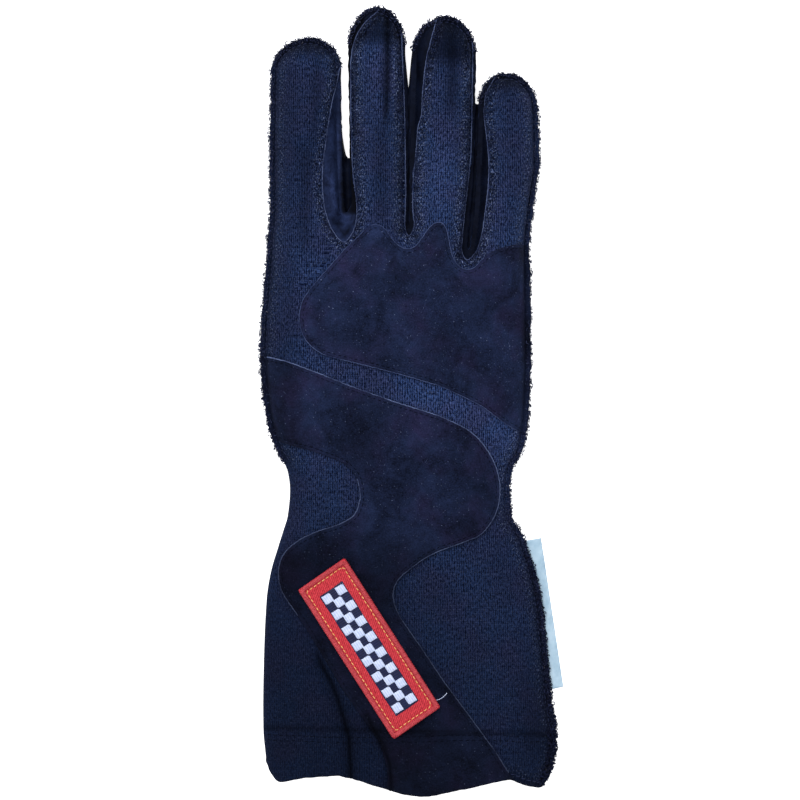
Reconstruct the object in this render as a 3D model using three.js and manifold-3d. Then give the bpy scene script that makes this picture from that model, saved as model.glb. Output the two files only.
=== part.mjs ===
// Auto racing glove for the right hand, adult large, lying palm down with its thumb folded under the palm.
// It is sewn from a knit back, a leather palm, leather side strips between the fingers and a knit gauntlet,
// with two suede overlays, an embroidered patch and a woven side label. Every seam stands outwards as a flange.
// Millimetres. +Y points to the fingertips, +X to the little finger, +Z up from the surface it lies on.
// The origin is the centre of the footprint, on that surface.
import * as THREE from "three";
import { mergeVertices } from "three/addons/utils/BufferGeometryUtils.js";
import Module from "manifold-3d";

const wasm = await Module();
wasm.setup();

// Fabric thicknesses and the clearance between neighbouring pieces.
const WALL = 2.0;
const CLEARANCE = 0.3;
const SUEDE_THICKNESS = 1.0;
const PATCH_THICKNESS = 1.3;
const LABEL_THICKNESS = 0.6;

// The outward seam allowance: how far it stands out and how thick its two layers are together.
const FLANGE_WIDTH = 2.2;
const FLANGE_THICKNESS = 3.2;

// Heights of the lying glove along its length: the underside, the side seam and the crown of the back.
const LIE = [
  { y: -172, bottom: 0, seam: 4.8, top: 10.5 },
  { y: -150, bottom: 0, seam: 5.0, top: 11.5 },
  { y: -100, bottom: 0, seam: 6.0, top: 14.0 },
  { y: -62, bottom: 0, seam: 7.4, top: 15.0 },
  { y: -38, bottom: 3.0, seam: 10.0, top: 17.0 },
  { y: -14, bottom: 9.5, seam: 15.5, top: 23.0 },
  { y: 0, bottom: 11.8, seam: 17.8, top: 26.0 },
  { y: 25, bottom: 12.2, seam: 18.8, top: 27.6 },
  { y: 48, bottom: 12.0, seam: 18.8, top: 27.6 },
  { y: 66, bottom: 9.6, seam: 16.6, top: 25.4 },
  { y: 88, bottom: 4.4, seam: 12.0, top: 20.8 },
  { y: 110, bottom: 1.0, seam: 8.4, top: 17.0 },
  { y: 130, bottom: 0, seam: 6.8, top: 14.8 },
  { y: 172, bottom: 0, seam: 6.0, top: 12.6 },
];

// Outline of the hand and the gauntlet, seam flanges included.
const HAND = [
  { y: -172, left: -58.0, right: 54.5 },
  { y: -157, left: -60.5, right: 58.0 },
  { y: -147, left: -61.7, right: 60.2 },
  { y: -138, left: -62.5, right: 60.4 },
  { y: -128, left: -62.6, right: 58.9 },
  { y: -106, left: -62.2, right: 56.7 },
  { y: -83, left: -61.1, right: 54.2 },
  { y: -72, left: -59.4, right: 51.7 },
  { y: -61, left: -56.2, right: 48.1 },
  { y: -54, left: -54.0, right: 45.3 },
  { y: -48, left: -52.2, right: 41.5 },
  { y: -37, left: -51.2, right: 40.9 },
  { y: -29, left: -52.2, right: 41.8 },
  { y: -20, left: -56.9, right: 46.4 },
  { y: -4, left: -61.3, right: 48.8 },
  { y: 20, left: -63.4, right: 49.6 },
  { y: 60, left: -60.9, right: 49.1 },
];
const HAND_END = { y: 62.5, rounding: 18 };

// Below this height along the glove the index side of the gauntlet is a plain fold, with no flange.
const FOLD_START_Y = -26;
const FOLD_WRAP = 8;
const LEATHER_END_Y = -46;

// Each finger: its outline with flanges, where its tip rounding starts, and its tip.
const FINGERS = [
  {
    name: "index",
    tip: { x: -43.3, y: 152.7 },
    capStart: 138.5,
    rows: [
      { y: 30, left: -61.5, right: -24.0 },
      { y: 66, left: -60.5, right: -26.9 },
      { y: 79, left: -59.4, right: -28.1 },
      { y: 107, left: -59.6, right: -29.4 },
      { y: 138.5, left: -59.2, right: -29.8 },
    ],
  },
  {
    name: "middle",
    tip: { x: -14.7, y: 165.7 },
    capStart: 148,
    rows: [
      { y: 30, left: -37.0, right: 6.0 },
      { y: 73, left: -26.8, right: -1.9 },
      { y: 86, left: -25.4, right: -1.9 },
      { y: 107, left: -26.2, right: -1.7 },
      { y: 148, left: -26.9, right: -2.9 },
    ],
  },
  {
    name: "ring",
    tip: { x: 13.9, y: 161.7 },
    capStart: 145,
    rows: [
      { y: 30, left: -8.0, right: 33.0 },
      { y: 63, left: -1.4, right: 23.1 },
      { y: 90, left: -0.9, right: 25.4 },
      { y: 118, left: -0.8, right: 26.4 },
      { y: 145, left: -0.2, right: 26.9 },
    ],
  },
  {
    name: "little",
    tip: { x: 39.5, y: 138.0 },
    capStart: 123.5,
    rows: [
      { y: 28, left: 14.0, right: 49.4 },
      { y: 63, left: 24.0, right: 49.1 },
      { y: 82, left: 26.3, right: 50.8 },
      { y: 101, left: 27.2, right: 53.3 },
      { y: 123.5, left: 28.0, right: 52.7 },
    ],
  },
];

// The lowest point of each gap between two fingers.
const CROTCHES = [
  { x: -27.7, y: 78.3 },
  { x: -1.6, y: 72.9 },
  { x: 23.6, y: 62.8 },
];

// A finger rises out of the hand between these two heights along the glove.
const FINGER_SINK = { from: 28, to: 64, least: 0.5 };

// Seams between the knit back and each leather side strip, from the left finger's tip round to the right one's.
const SIDE_STRIPS = [
  {
    name: "fourchette_index_middle",
    seam: [
      [-33.2, 143.0],
      [-33.5, 126.2],
      [-36.2, 108.1],
      [-37.6, 90.1],
      [-36.2, 78.5],
      [-31.2, 68.4],
      [-28.4, 65.7],
      [-25.6, 69.1],
      [-22.8, 80.0],
      [-23.0, 101.4],
      [-23.4, 126.6],
      [-22.6, 150.0],
    ],
  },
  {
    name: "fourchette_middle_ring",
    seam: [
      [-6.8, 150.0],
      [-5.0, 130.0],
      [-4.8, 100.0],
      [-4.8, 79.2],
      [-1.5, 68.2],
      [1.6, 75.0],
      [2.6, 96.0],
      [2.9, 114.9],
      [4.6, 129.6],
      [8.0, 150.0],
    ],
  },
  {
    name: "fourchette_ring_little",
    seam: [
      [21.2, 146.0],
      [22.8, 126.0],
      [22.4, 101.4],
      [21.6, 79.2],
      [19.9, 64.0],
      [23.2, 58.2],
      [29.3, 69.9],
      [31.7, 88.0],
      [32.0, 104.8],
      [31.0, 118.0],
      [33.4, 130.0],
    ],
  },
];

// The thumb lies flat under the palm, nearly parallel to the fingers. Its open end runs into the palm.
const THUMB = {
  flange: 0,
  tip: { x: -25.5, y: 60 },
  capStart: 46,
  rows: [
    { y: -40, left: -42, right: -15, bottom: 3.4, top: 13.6 },
    { y: -30, left: -44.5, right: -13.5, bottom: 1.0, top: 13.6 },
    { y: -18, left: -46.5, right: -13.5, bottom: 0, top: 13.2 },
    { y: 0, left: -46, right: -14, bottom: 0, top: 11.3 },
    { y: 20, left: -44, right: -13.5, bottom: 0, top: 11.0 },
    { y: 46, left: -39.5, right: -11.5, bottom: 0, top: 10.4 },
  ],
};

// The cuff's wavy hem, from the index side to the little-finger side.
const HEM = [
  [-70, -149],
  [-61.7, -150.6],
  [-59.6, -155.6],
  [-56.3, -160.2],
  [-44.9, -158.1],
  [-31.0, -156.9],
  [-21.8, -159.4],
  [-7.1, -164.0],
  [1.3, -165.7],
  [7.6, -165.7],
  [22.0, -162.8],
  [41.2, -158.5],
  [47.5, -161.5],
  [54.2, -162.8],
  [57.5, -157.3],
  [70, -146],
];
const HEM_BAND = { y: -139, rise: 0.5, ramp: 3 };

// Folds of the cuff: each is a crease line with its depth and half width.
const FOLDS = [
  { x0: -38.2, y0: -106, x1: -29.0, y1: -128.3, depth: 1.6, width: 4.2 },
  { x0: -29.0, y0: -128.3, x1: -26.5, y1: -170, depth: 2.2, width: 4.4 },
  { x0: -20.0, y0: -130.0, x1: -11.5, y1: -170, depth: 1.9, width: 4.4 },
];
const FOLD_FADE = 10;
const RELIEF_START = 3;

// Suede overlay across the knuckles.
const KNUCKLE_SUEDE = [
  [56, 64.9],
  [43.3, 65.7],
  [30.7, 61.1],
  [26.0, 55.6],
  [23.0, 54.8],
  [19.0, 56.5],
  [15.4, 67.0],
  [13.0, 74.5],
  [10.5, 75.4],
  [7.0, 72.6],
  [2.0, 65.0],
  [-2.5, 63.4],
  [-8.4, 67.8],
  [-12.2, 73.3],
  [-15.5, 74.6],
  [-18.5, 73.0],
  [-28.1, 63.6],
  [-36.5, 54.0],
  [-43.3, 46.0],
  [-46.9, 37.6],
  [-46.2, 29.5],
  [-41.8, 22.8],
  [-34.0, 18.6],
  [-7.1, 12.0],
  [11.8, 6.5],
  [28.6, -1.5],
  [39.1, -9.4],
  [56, -19.0],
];

// Suede overlay across the wrist, which swings back down to the hem.
const WRIST_SUEDE = [
  [-70, 20.5],
  [-53.3, 17.0],
  [-26.0, 6.5],
  [11.8, -6.1],
  [22.3, -11.1],
  [30.7, -19.1],
  [35.9, -29.5],
  [36.9, -39.0],
  [34.5, -48.5],
  [28.2, -56.4],
  [11.8, -62.4],
  [0.0, -69.5],
  [-6.5, -75.5],
  [-8.0, -82.1],
  [-5.0, -90.5],
  [13.9, -118.2],
  [34.9, -146.8],
  [47.0, -166.0],
  [47.0, -175.0],
  [-9.0, -175.0],
  [-10.5, -152.7],
  [-13.4, -143.0],
  [-28.5, -121.6],
  [-45.0, -94.0],
  [-51.5, -84.5],
  [-55.6, -76.5],
  [-55.7, -68.0],
  [-51.8, -61.4],
  [-38.6, -54.0],
  [-26.5, -49.6],
  [-22.6, -44.5],
  [-21.8, -37.0],
  [-24.6, -29.4],
  [-32.0, -24.2],
  [-51.2, -18.3],
  [-70, -11.5],
];

// The patch: a rectangle turned so that its long side runs down and across the gauntlet.
const PATCH = { x: -18.5, y: -104.0, length: 73.6, width: 23.0, turn: -57.5 };

// The side label: it leaves the seam along the cuff and its free edge is straight.
const LABEL = {
  top: { x: 54.2, y: -57.3 },
  end: { x: 63.6, y: -119.9 },
  tuck: 1.7,
  steps: 6,
};

// How finely the sections are cut: a common step along the glove, and columns across each side.
const STEP = 12;
const HAND_COLUMNS = { upper: 18, lower: 8 };
const FINGER_COLUMNS = { upper: 8, lower: 6 };
const SPACE_COLUMNS = { upper: 6, lower: 4 };
const TIP_ANGLES = [35, 68];
const FLANGE_TIP_ANGLES = [150, 120, 90, 60, 30];
const HAND_END_ANGLES = [35, 65, 84];

// Roundness of a section: the back is a soft pillow, a finger is nearly a tube, and the underside lies flat.
const HAND_CROWN = 2.7;
const FINGER_CROWN = 2.3;
const SOLE = { power: 4, press: 1.06 };
const TIP_FALL = 0.8;
const HAND_END_NARROWING = 3;
const EDGE_CROWDING = 0.7;

// Materials.
const knit = new THREE.MeshStandardMaterial({
  color: 0x1f2846,
  roughness: 0.95,
  metalness: 0,
});
const suede = new THREE.MeshStandardMaterial({
  color: 0x1b2240,
  roughness: 0.9,
  metalness: 0,
});
const leather = new THREE.MeshStandardMaterial({
  color: 0x15192b,
  roughness: 0.7,
  metalness: 0,
});
const embroidery = new THREE.MeshStandardMaterial({
  color: 0xc8353f,
  roughness: 0.8,
  metalness: 0,
});
const satin = new THREE.MeshStandardMaterial({
  color: 0xdce6ee,
  roughness: 0.6,
  metalness: 0,
});

// A table's column at a place between its rows, on a smooth curve that never overshoots them.
function at(rows, column, y) {
  const last = rows.length - 1;
  if (y <= rows[0].y) return rows[0][column];
  if (y >= rows[last].y) return rows[last][column];
  const i = rows.findIndex((row, k) => k < last && y < rows[k + 1].y);
  const slope = (k) =>
    (rows[k + 1][column] - rows[k][column]) / (rows[k + 1].y - rows[k].y);
  const tangent = (k) => {
    if (k === 0) return slope(0);
    if (k === last) return slope(last - 1);
    const before = slope(k - 1);
    const after = slope(k);
    return before * after <= 0 ? 0 : (2 * before * after) / (before + after);
  };
  const span = rows[i + 1].y - rows[i].y;
  const t = (y - rows[i].y) / span;
  const rise = t * t * (3 - 2 * t);
  return (
    rows[i][column] * (1 - rise) +
    rows[i + 1][column] * rise +
    span * (t * (1 - t) ** 2 * tangent(i) - t * t * (1 - t) * tangent(i + 1))
  );
}

const seamHeight = (y) => at(LIE, "seam", y);

// Bounds that lie clear of the whole glove.
const FAR = 100;
const CELLAR = -20;
const CEILING = 60;

const smoothStep = (from, to, value) => {
  const t = Math.min(1, Math.max(0, (value - from) / (to - from)));
  return t * t * (3 - 2 * t);
};

// A closed mesh as a solid, turned so that its faces point out.
function solidOf(points, triangles) {
  let volume = 0;
  for (const [a, b, c] of triangles) {
    const [p, q, r] = [points[a], points[b], points[c]];
    volume +=
      p[0] * (q[1] * r[2] - q[2] * r[1]) +
      p[1] * (q[2] * r[0] - q[0] * r[2]) +
      p[2] * (q[0] * r[1] - q[1] * r[0]);
  }
  const facing = volume < 0 ? triangles.map(([a, b, c]) => [a, c, b]) : triangles;
  return new wasm.Manifold(
    new wasm.Mesh({
      numProp: 3,
      vertProperties: new Float32Array(points.flat()),
      triVerts: new Uint32Array(facing.flat()),
    }),
  );
}

// A solid through rings of equal point counts, closed at both ends.
function loft(rings) {
  const count = rings[0].length;
  const points = rings.flat();
  const triangles = [];
  for (let r = 0; r + 1 < rings.length; r++) {
    for (let k = 0; k < count; k++) {
      const a = r * count + k;
      const b = r * count + ((k + 1) % count);
      triangles.push([a, b, a + count], [b, b + count, a + count]);
    }
  }
  const close = (first, flip) => {
    const middle = [0, 1, 2].map(
      (axis) =>
        points.slice(first, first + count).reduce((sum, p) => sum + p[axis], 0) /
        count,
    );
    points.push(middle);
    const hub = points.length - 1;
    for (let k = 0; k < count; k++) {
      const a = first + k;
      const b = first + ((k + 1) % count);
      triangles.push(flip ? [hub, b, a] : [hub, a, b]);
    }
  };
  close(0, true);
  close((rings.length - 1) * count, false);
  return solidOf(points, triangles);
}

// Places along the glove between two ends, on the step that all its sections share.
function stations(from, to) {
  const inner = [];
  for (let y = Math.ceil((from + 2) / STEP) * STEP; y < to - 2; y += STEP) inner.push(y);
  return [from, ...inner, to];
}

// An outline in plan made into an upright solid that is taller than the glove.
function prism(outline) {
  const shape = new THREE.Shape(outline.map(([x, y]) => new THREE.Vector2(x, y)));
  const geometry = new THREE.ExtrudeGeometry(shape, {
    depth: CEILING - CELLAR,
    bevelEnabled: false,
  });
  geometry.translate(0, 0, CELLAR);
  geometry.deleteAttribute("normal");
  geometry.deleteAttribute("uv");
  const merged = mergeVertices(geometry, 1e-4);
  const position = merged.getAttribute("position");
  const points = [];
  for (let i = 0; i < position.count; i++) {
    points.push([position.getX(i), position.getY(i), position.getZ(i)]);
  }
  const index = Array.from(merged.index.array);
  const triangles = [];
  for (let i = 0; i < index.length; i += 3)
    triangles.push(index.slice(i, i + 3));
  return solidOf(points, triangles);
}

// A layer that follows the side seam along the glove, between two heights over it.
function seamLayer(low, high) {
  return loft(
    stations(-FAR * 2, FAR * 2).map((y) => {
      const seam = seamHeight(y);
      return [
        [-FAR, y, seam + low],
        [FAR, y, seam + low],
        [FAR, y, seam + high],
        [-FAR, y, seam + high],
      ];
    }),
  );
}

// An outline moved outwards by a distance, for the clearance round a cut.
function grown(outline, distance) {
  const area = outline.reduce((sum, [x, y], i) => {
    const [nextX, nextY] = outline[(i + 1) % outline.length];
    return sum + x * nextY - nextX * y;
  }, 0);
  const side = Math.sign(area) * distance;
  return outline.map(([x, y], i) => {
    const [px, py] = outline.at(i - 1);
    const [nx, ny] = outline[(i + 1) % outline.length];
    const before = new THREE.Vector2(x - px, y - py).normalize();
    const after = new THREE.Vector2(nx - x, ny - y).normalize();
    const normal = new THREE.Vector2(
      before.y + after.y,
      -before.x - after.x,
    ).normalize();
    const spread = Math.max(0.5, normal.x * before.y - normal.y * before.x);
    return [x + (normal.x * side) / spread, y + (normal.y * side) / spread];
  });
}

// Places across a section, from edge to edge, closer together towards the edges.
function sharesAcross(columns) {
  return Array.from({ length: columns + 1 }, (_, k) => {
    const even = (2 * k) / columns - 1;
    return (1 - EDGE_CROWDING) * even + EDGE_CROWDING * Math.sin((Math.PI / 2) * even);
  });
}

const crownShare = (across, power) =>
  (1 - Math.abs(across) ** power) ** (1 / power);
const soleShare = (across) => Math.min(1, SOLE.press * crownShare(across, SOLE.power));

// One closed section at a height along the glove: over the back, then back under the sole.
function section({ y, middle, half, seam, rise, drop, crown, columns, relief }) {
  const over = sharesAcross(columns.upper).map((across) => {
    const x = middle + half * across;
    const lift = rise * crownShare(across, crown);
    const folded = relief ? relief(x, y) * Math.min(1, lift / RELIEF_START) : 0;
    return [x, y, seam + lift + folded];
  });
  const under = sharesAcross(columns.lower)
    .slice(1, -1)
    .reverse()
    .map((across) => [
      middle + half * across,
      y,
      seam - drop * soleShare(across),
    ]);
  return [...over, ...under];
}

// How far the cuff's folds and its turned hem move the surface of the back.
function cuffRelief(x, y) {
  let height = HEM_BAND.rise * smoothStep(HEM_BAND.y, HEM_BAND.y - HEM_BAND.ramp, y);
  for (const fold of FOLDS) {
    const along = new THREE.Vector2(fold.x1 - fold.x0, fold.y1 - fold.y0);
    const length = along.length();
    along.normalize();
    const from = new THREE.Vector2(x - fold.x0, y - fold.y0);
    const distance = along.cross(from);
    const travel = along.dot(from);
    const fade =
      smoothStep(-FOLD_FADE, FOLD_FADE / 2, travel) *
      (1 - smoothStep(length - 2, length + 2, travel));
    height -= fold.depth * fade * Math.exp(-((distance / fold.width) ** 2));
  }
  return height;
}

// The body's edges inside the flanges. The plain fold of the gauntlet has none.
const leftFlange = (y) =>
  FLANGE_WIDTH * smoothStep(FOLD_START_Y - 4, FOLD_START_Y + 4, y);
const bodyLeft = (y) => at(HAND, "left", y) + leftFlange(y);
const bodyRight = (y) => at(HAND, "right", y) - FLANGE_WIDTH;

// Places along a form with one rounded end, each with the share of its height that is left there.
function roundedEnd(start, straightEnd, reach, angles) {
  const straight = stations(start, straightEnd).map((y) => ({ y, share: 1 }));
  const round = angles.map((angle) => {
    const turn = THREE.MathUtils.degToRad(angle);
    return { y: straightEnd + reach * Math.sin(turn), share: Math.cos(turn) };
  });
  return [...straight, ...round];
}

// The hand and gauntlet, from past the hem to the rounded end that the fingers cover.
function handBody(grow, columns) {
  const straightEnd = HAND_END.y - HAND_END.rounding;
  const reach = HAND_END.rounding + grow;
  const places = roundedEnd(LIE[0].y - STEP, straightEnd, reach, HAND_END_ANGLES);
  return loft(
    places.map(({ y, share }) => {
      const left = bodyLeft(y) - grow;
      const right = bodyRight(y) + grow;
      return section({
        y,
        middle: (left + right) / 2,
        half: (right - left) / 2 - (1 - share) * HAND_END_NARROWING,
        seam: seamHeight(y),
        rise: (at(LIE, "top", y) - seamHeight(y) + grow) * share,
        drop: (seamHeight(y) - at(LIE, "bottom", y) + grow) * share,
        crown: HAND_CROWN,
        columns,
        relief: cuffRelief,
      });
    }),
  );
}

// One finger or the thumb as a flattened tube with a rounded tip.
function tube({ rows, tip, capStart, flange }, grow, heights, columns) {
  const inset = flange - grow;
  const reach = tip.y - inset - capStart;
  const places = roundedEnd(rows[0].y, capStart, reach, TIP_ANGLES);
  return loft(
    places.map(({ y, share }) => {
      const row = Math.min(y, capStart);
      const left = at(rows, "left", row) + inset;
      const right = at(rows, "right", row) - inset;
      const lean = Math.max(0, y - capStart) / (tip.y - capStart);
      const middle = ((left + right) / 2) * (1 - lean) + tip.x * lean;
      const { seam, rise, drop } = heights(y);
      return section({
        y,
        middle,
        half: ((right - left) / 2) * share,
        seam,
        rise: (rise + grow) * share ** TIP_FALL,
        drop: (drop + grow) * share ** TIP_FALL,
        crown: FINGER_CROWN,
        columns,
      });
    }),
  );
}

function fingerHeights(y) {
  const { from, to, least } = FINGER_SINK;
  const out = least + (1 - least) * smoothStep(from, to, y);
  return {
    seam: seamHeight(y),
    rise: (at(LIE, "top", y) - seamHeight(y)) * out,
    drop: (seamHeight(y) - at(LIE, "bottom", y)) * out,
  };
}

function thumbHeights(y) {
  const bottom = at(THUMB.rows, "bottom", y);
  const top = at(THUMB.rows, "top", y);
  return { seam: (bottom + top) / 2, rise: (top - bottom) / 2, drop: (top - bottom) / 2 };
}

// The whole glove without its thumb as one filled form, moved out or in from the cloth's outer face.
function gloveBody(grow, fingerColumns) {
  return FINGERS.reduce(
    (body, finger) =>
      body.add(tube({ ...finger, flange: FLANGE_WIDTH }, grow, fingerHeights, fingerColumns)),
    handBody(grow, HAND_COLUMNS),
  );
}

// The outline of a finger's flange from its left base over the tip to its right base.
function fingerOutline({ rows, tip, capStart }, leftBase, rightBase) {
  const side = (base, column) => stations(base, capStart).map((y) => [at(rows, column, y), y]);
  const left = at(rows, "left", capStart);
  const right = at(rows, "right", capStart);
  const over = FLANGE_TIP_ANGLES.map((angle) => {
    const turn = THREE.MathUtils.degToRad(angle);
    const lean = Math.sin(turn);
    const middle = ((left + right) / 2) * (1 - lean) + tip.x * lean;
    return [
      middle + ((right - left) / 2) * Math.cos(turn),
      capStart + (tip.y - capStart) * Math.sin(turn),
    ];
  });
  return [...side(leftBase, "left"), ...over, ...side(rightBase, "right").reverse()];
}

// The outline of the whole flange: up the index side, round each finger, down the little-finger side.
function flangeOutline() {
  const bottom = LIE[0].y;
  const handTop = HAND.at(-1).y;
  const buried = 6;
  const overlap = 3;
  const foldSide = stations(bottom, FOLD_START_Y).map((y) => [at(HAND, "left", y) + buried, y]);
  const indexSide = stations(FOLD_START_Y + 4, handTop).map((y) => [at(HAND, "left", y), y]);
  const littleSide = stations(bottom, handTop).map((y) => [at(HAND, "right", y), y]);
  const bases = [{ y: handTop + overlap }, ...CROTCHES, { y: handTop + overlap }];
  const fingers = FINGERS.flatMap((finger, i) => {
    const crotch = i < CROTCHES.length ? [[CROTCHES[i].x, CROTCHES[i].y]] : [];
    const [left, right] = [bases[i].y + overlap, bases[i + 1].y + overlap];
    return [...fingerOutline(finger, left, right), ...crotch];
  });
  return [...foldSide, ...indexSide, ...fingers, ...littleSide.reverse()];
}

// Everything above the side seam, which parts the back from the underside.
const aboveSeam = (offset) => seamLayer(offset, CEILING);

// The strip of the gauntlet's underside that the back wraps onto at its plain fold.
function foldWrap(offset) {
  const end = FOLD_START_Y + offset;
  const edge = stations(-2 * FAR, end).map((y) => [
    at(HAND, "left", y) + FOLD_WRAP + offset,
    y,
  ]);
  return prism([[-FAR, -2 * FAR], ...edge, [-FAR, end]]);
}

// The wedge of space between two fingers, whose sides are the seams of the leather strip.
function fingerGap({ seam }, offset) {
  const outline = [[seam[0][0], 2 * FAR], ...seam, [seam.at(-1)[0], 2 * FAR]];
  return prism(grown(outline, offset));
}

// The whole width of the glove between two places along it.
const stretch = (from, to) =>
  prism([
    [-FAR, from],
    [FAR, from],
    [FAR, to],
    [-FAR, to],
  ]);

// A layer of even thickness that lies on the glove inside an outline.
function overlay(outline, lift, thickness) {
  const lowest = FLANGE_THICKNESS / 2 + CLEARANCE;
  return gloveBody(lift + thickness, FINGER_COLUMNS)
    .subtract(gloveBody(lift, FINGER_COLUMNS))
    .intersect(prism(outline))
    .intersect(aboveSeam(lowest))
    .subtract(belowHem);
}

function patchOutline() {
  const turn = THREE.MathUtils.degToRad(PATCH.turn);
  const along = new THREE.Vector2(Math.cos(turn), Math.sin(turn));
  const corners = [
    [-1, -1],
    [1, -1],
    [1, 1],
    [-1, 1],
  ];
  return corners.map(([end, side]) => [
    PATCH.x + (end * along.x * PATCH.length - side * along.y * PATCH.width) / 2,
    PATCH.y + (end * along.y * PATCH.length + side * along.x * PATCH.width) / 2,
  ]);
}

function labelOutline() {
  const { top, end, tuck, steps } = LABEL;
  const tucked = Array.from({ length: steps + 1 }, (_, k) => {
    const y = end.y + ((top.y - end.y) * k) / steps;
    return [at(HAND, "right", y) - tuck, y];
  });
  return [[end.x, end.y], [top.x, top.y], ...tucked.reverse()];
}

function labelPlate(offset) {
  const reach = LABEL_THICKNESS / 2 + offset;
  return prism(grown(labelOutline(), offset)).intersect(seamLayer(-reach, reach));
}

const root = new THREE.Group();

// Adds a solid as a named mesh.
function place(name, solid, material) {
  const mesh = solid.getMesh();
  const geometry = new THREE.BufferGeometry();
  geometry.setAttribute(
    "position",
    new THREE.BufferAttribute(new Float32Array(mesh.vertProperties), 3),
  );
  geometry.setIndex(new THREE.BufferAttribute(new Uint32Array(mesh.triVerts), 1));
  const node = new THREE.Mesh(geometry, material);
  node.name = name;
  root.add(node);
}

const belowHem = prism([
  [-FAR, -2 * FAR],
  [-FAR, HEM[0][1]],
  ...HEM,
  [FAR, HEM.at(-1)[1]],
  [FAR, -2 * FAR],
]);

// The sewn shell: the filled form with its flange, less the space for the hand.
const flange = prism(flangeOutline()).intersect(
  seamLayer(-FLANGE_THICKNESS / 2, FLANGE_THICKNESS / 2),
);
const handSpace = gloveBody(-WALL, SPACE_COLUMNS);
const thumbSpace = tube(THUMB, -WALL, thumbHeights, SPACE_COLUMNS);
const shell = gloveBody(0, FINGER_COLUMNS)
  .add(flange)
  .subtract(handSpace)
  .subtract(thumbSpace)
  .subtract(belowHem)
  .subtract(labelPlate(CLEARANCE));

const half = CLEARANCE / 2;
const upper = aboveSeam(half).add(foldWrap(0));
const gaps = SIDE_STRIPS.map((strip) => fingerGap(strip, 0));
const openGaps = SIDE_STRIPS.map((strip) => fingerGap(strip, CLEARANCE));

// The knit back, from the fingertips to the hem, with the fold on the index side.
const back = openGaps.reduce((rest, gap) => rest.subtract(gap), shell.intersect(upper));
place("back_knit", back, knit);

// The leather strips that make the sides of the fingers.
SIDE_STRIPS.forEach((strip, i) =>
  place(strip.name, shell.intersect(gaps[i]).intersect(aboveSeam(half)), leather),
);

// The underside: leather palm and finger fronts, then a knit gauntlet.
const underside = shell.subtract(aboveSeam(-half)).subtract(foldWrap(CLEARANCE));
place(
  "palm_leather",
  underside.intersect(stretch(LEATHER_END_Y + half, 2 * FAR)),
  leather,
);
place(
  "gauntlet_under",
  underside.intersect(stretch(-2 * FAR, LEATHER_END_Y - half)),
  knit,
);

// The thumb, sewn into the palm where its tube meets it.
const thumb = tube(THUMB, 0, thumbHeights, FINGER_COLUMNS)
  .subtract(thumbSpace)
  .subtract(gloveBody(CLEARANCE, FINGER_COLUMNS));
place("thumb", thumb, leather);

// The overlays, the patch on them and the label in the side seam.
place("knuckle_suede", overlay(KNUCKLE_SUEDE, CLEARANCE, SUEDE_THICKNESS), suede);
place("wrist_suede", overlay(WRIST_SUEDE, CLEARANCE, SUEDE_THICKNESS), suede);
place(
  "patch",
  overlay(patchOutline(), 2 * CLEARANCE + SUEDE_THICKNESS, PATCH_THICKNESS),
  embroidery,
);
place("side_label", labelPlate(0), satin);

export default root;
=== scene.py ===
"""The dressed racing glove: a right-hand auto racing glove, palm down, sewn from knit, suede and leather.

Each panel is a fine mesh on the same tables of sizes as the CAD part. The seams stand outwards with raw terry
edges, two suede overlays lie on the knit back, and a woven patch and a side label are sewn to the gauntlet.
Sizes are in millimetres until a mesh is made. +Y points to the fingertips, +X to the little finger, +Z up.
"""

from __future__ import annotations

import logging
import math
from dataclasses import dataclass, field
from enum import Enum
from functools import cache
from typing import Any, Sequence

import bpy
import numpy as np
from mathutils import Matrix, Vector
from mathutils.geometry import delaunay_2d_cdt
from mathutils.kdtree import KDTree

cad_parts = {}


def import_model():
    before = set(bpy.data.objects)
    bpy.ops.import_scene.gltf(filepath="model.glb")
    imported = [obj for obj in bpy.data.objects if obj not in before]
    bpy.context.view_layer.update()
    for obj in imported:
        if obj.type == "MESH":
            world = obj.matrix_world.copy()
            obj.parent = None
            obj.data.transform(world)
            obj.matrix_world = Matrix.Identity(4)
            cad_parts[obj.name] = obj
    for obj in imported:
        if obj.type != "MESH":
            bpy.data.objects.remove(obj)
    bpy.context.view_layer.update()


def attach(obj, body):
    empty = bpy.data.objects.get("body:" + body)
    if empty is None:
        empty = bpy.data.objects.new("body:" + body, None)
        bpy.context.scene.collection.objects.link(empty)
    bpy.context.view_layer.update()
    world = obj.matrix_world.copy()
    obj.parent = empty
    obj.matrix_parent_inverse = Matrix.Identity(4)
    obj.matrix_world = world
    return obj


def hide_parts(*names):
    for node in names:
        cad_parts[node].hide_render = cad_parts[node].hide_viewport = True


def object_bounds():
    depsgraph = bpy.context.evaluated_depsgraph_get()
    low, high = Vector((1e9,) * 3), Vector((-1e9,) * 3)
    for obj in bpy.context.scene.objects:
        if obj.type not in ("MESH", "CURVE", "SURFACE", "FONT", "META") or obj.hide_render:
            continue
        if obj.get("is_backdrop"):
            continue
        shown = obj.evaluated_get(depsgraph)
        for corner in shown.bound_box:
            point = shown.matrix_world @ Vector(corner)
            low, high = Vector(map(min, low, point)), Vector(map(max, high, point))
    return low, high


LOG = logging.getLogger("racing_glove")
MM = 0.001
ROOT = "root"
Array = np.ndarray
Tree = bpy.types.NodeTree
Thing = bpy.types.Object
Path = tuple[tuple[float, float], ...]
# A trim's sizes in the order of their names: millimetres, radians for a slant, fibres to the square metre.
Sizes = tuple[float, ...]
# A sheet's points in millimetres, its triangles, its flat cloth places and its point values.
Sheet = tuple[Array, Array, Array, dict[str, Array]]
Look = tuple[Any, Any, Any]


class Side(Enum):
    """The two faces of the lying glove."""

    BACK = 1
    SOLE = -1


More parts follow.
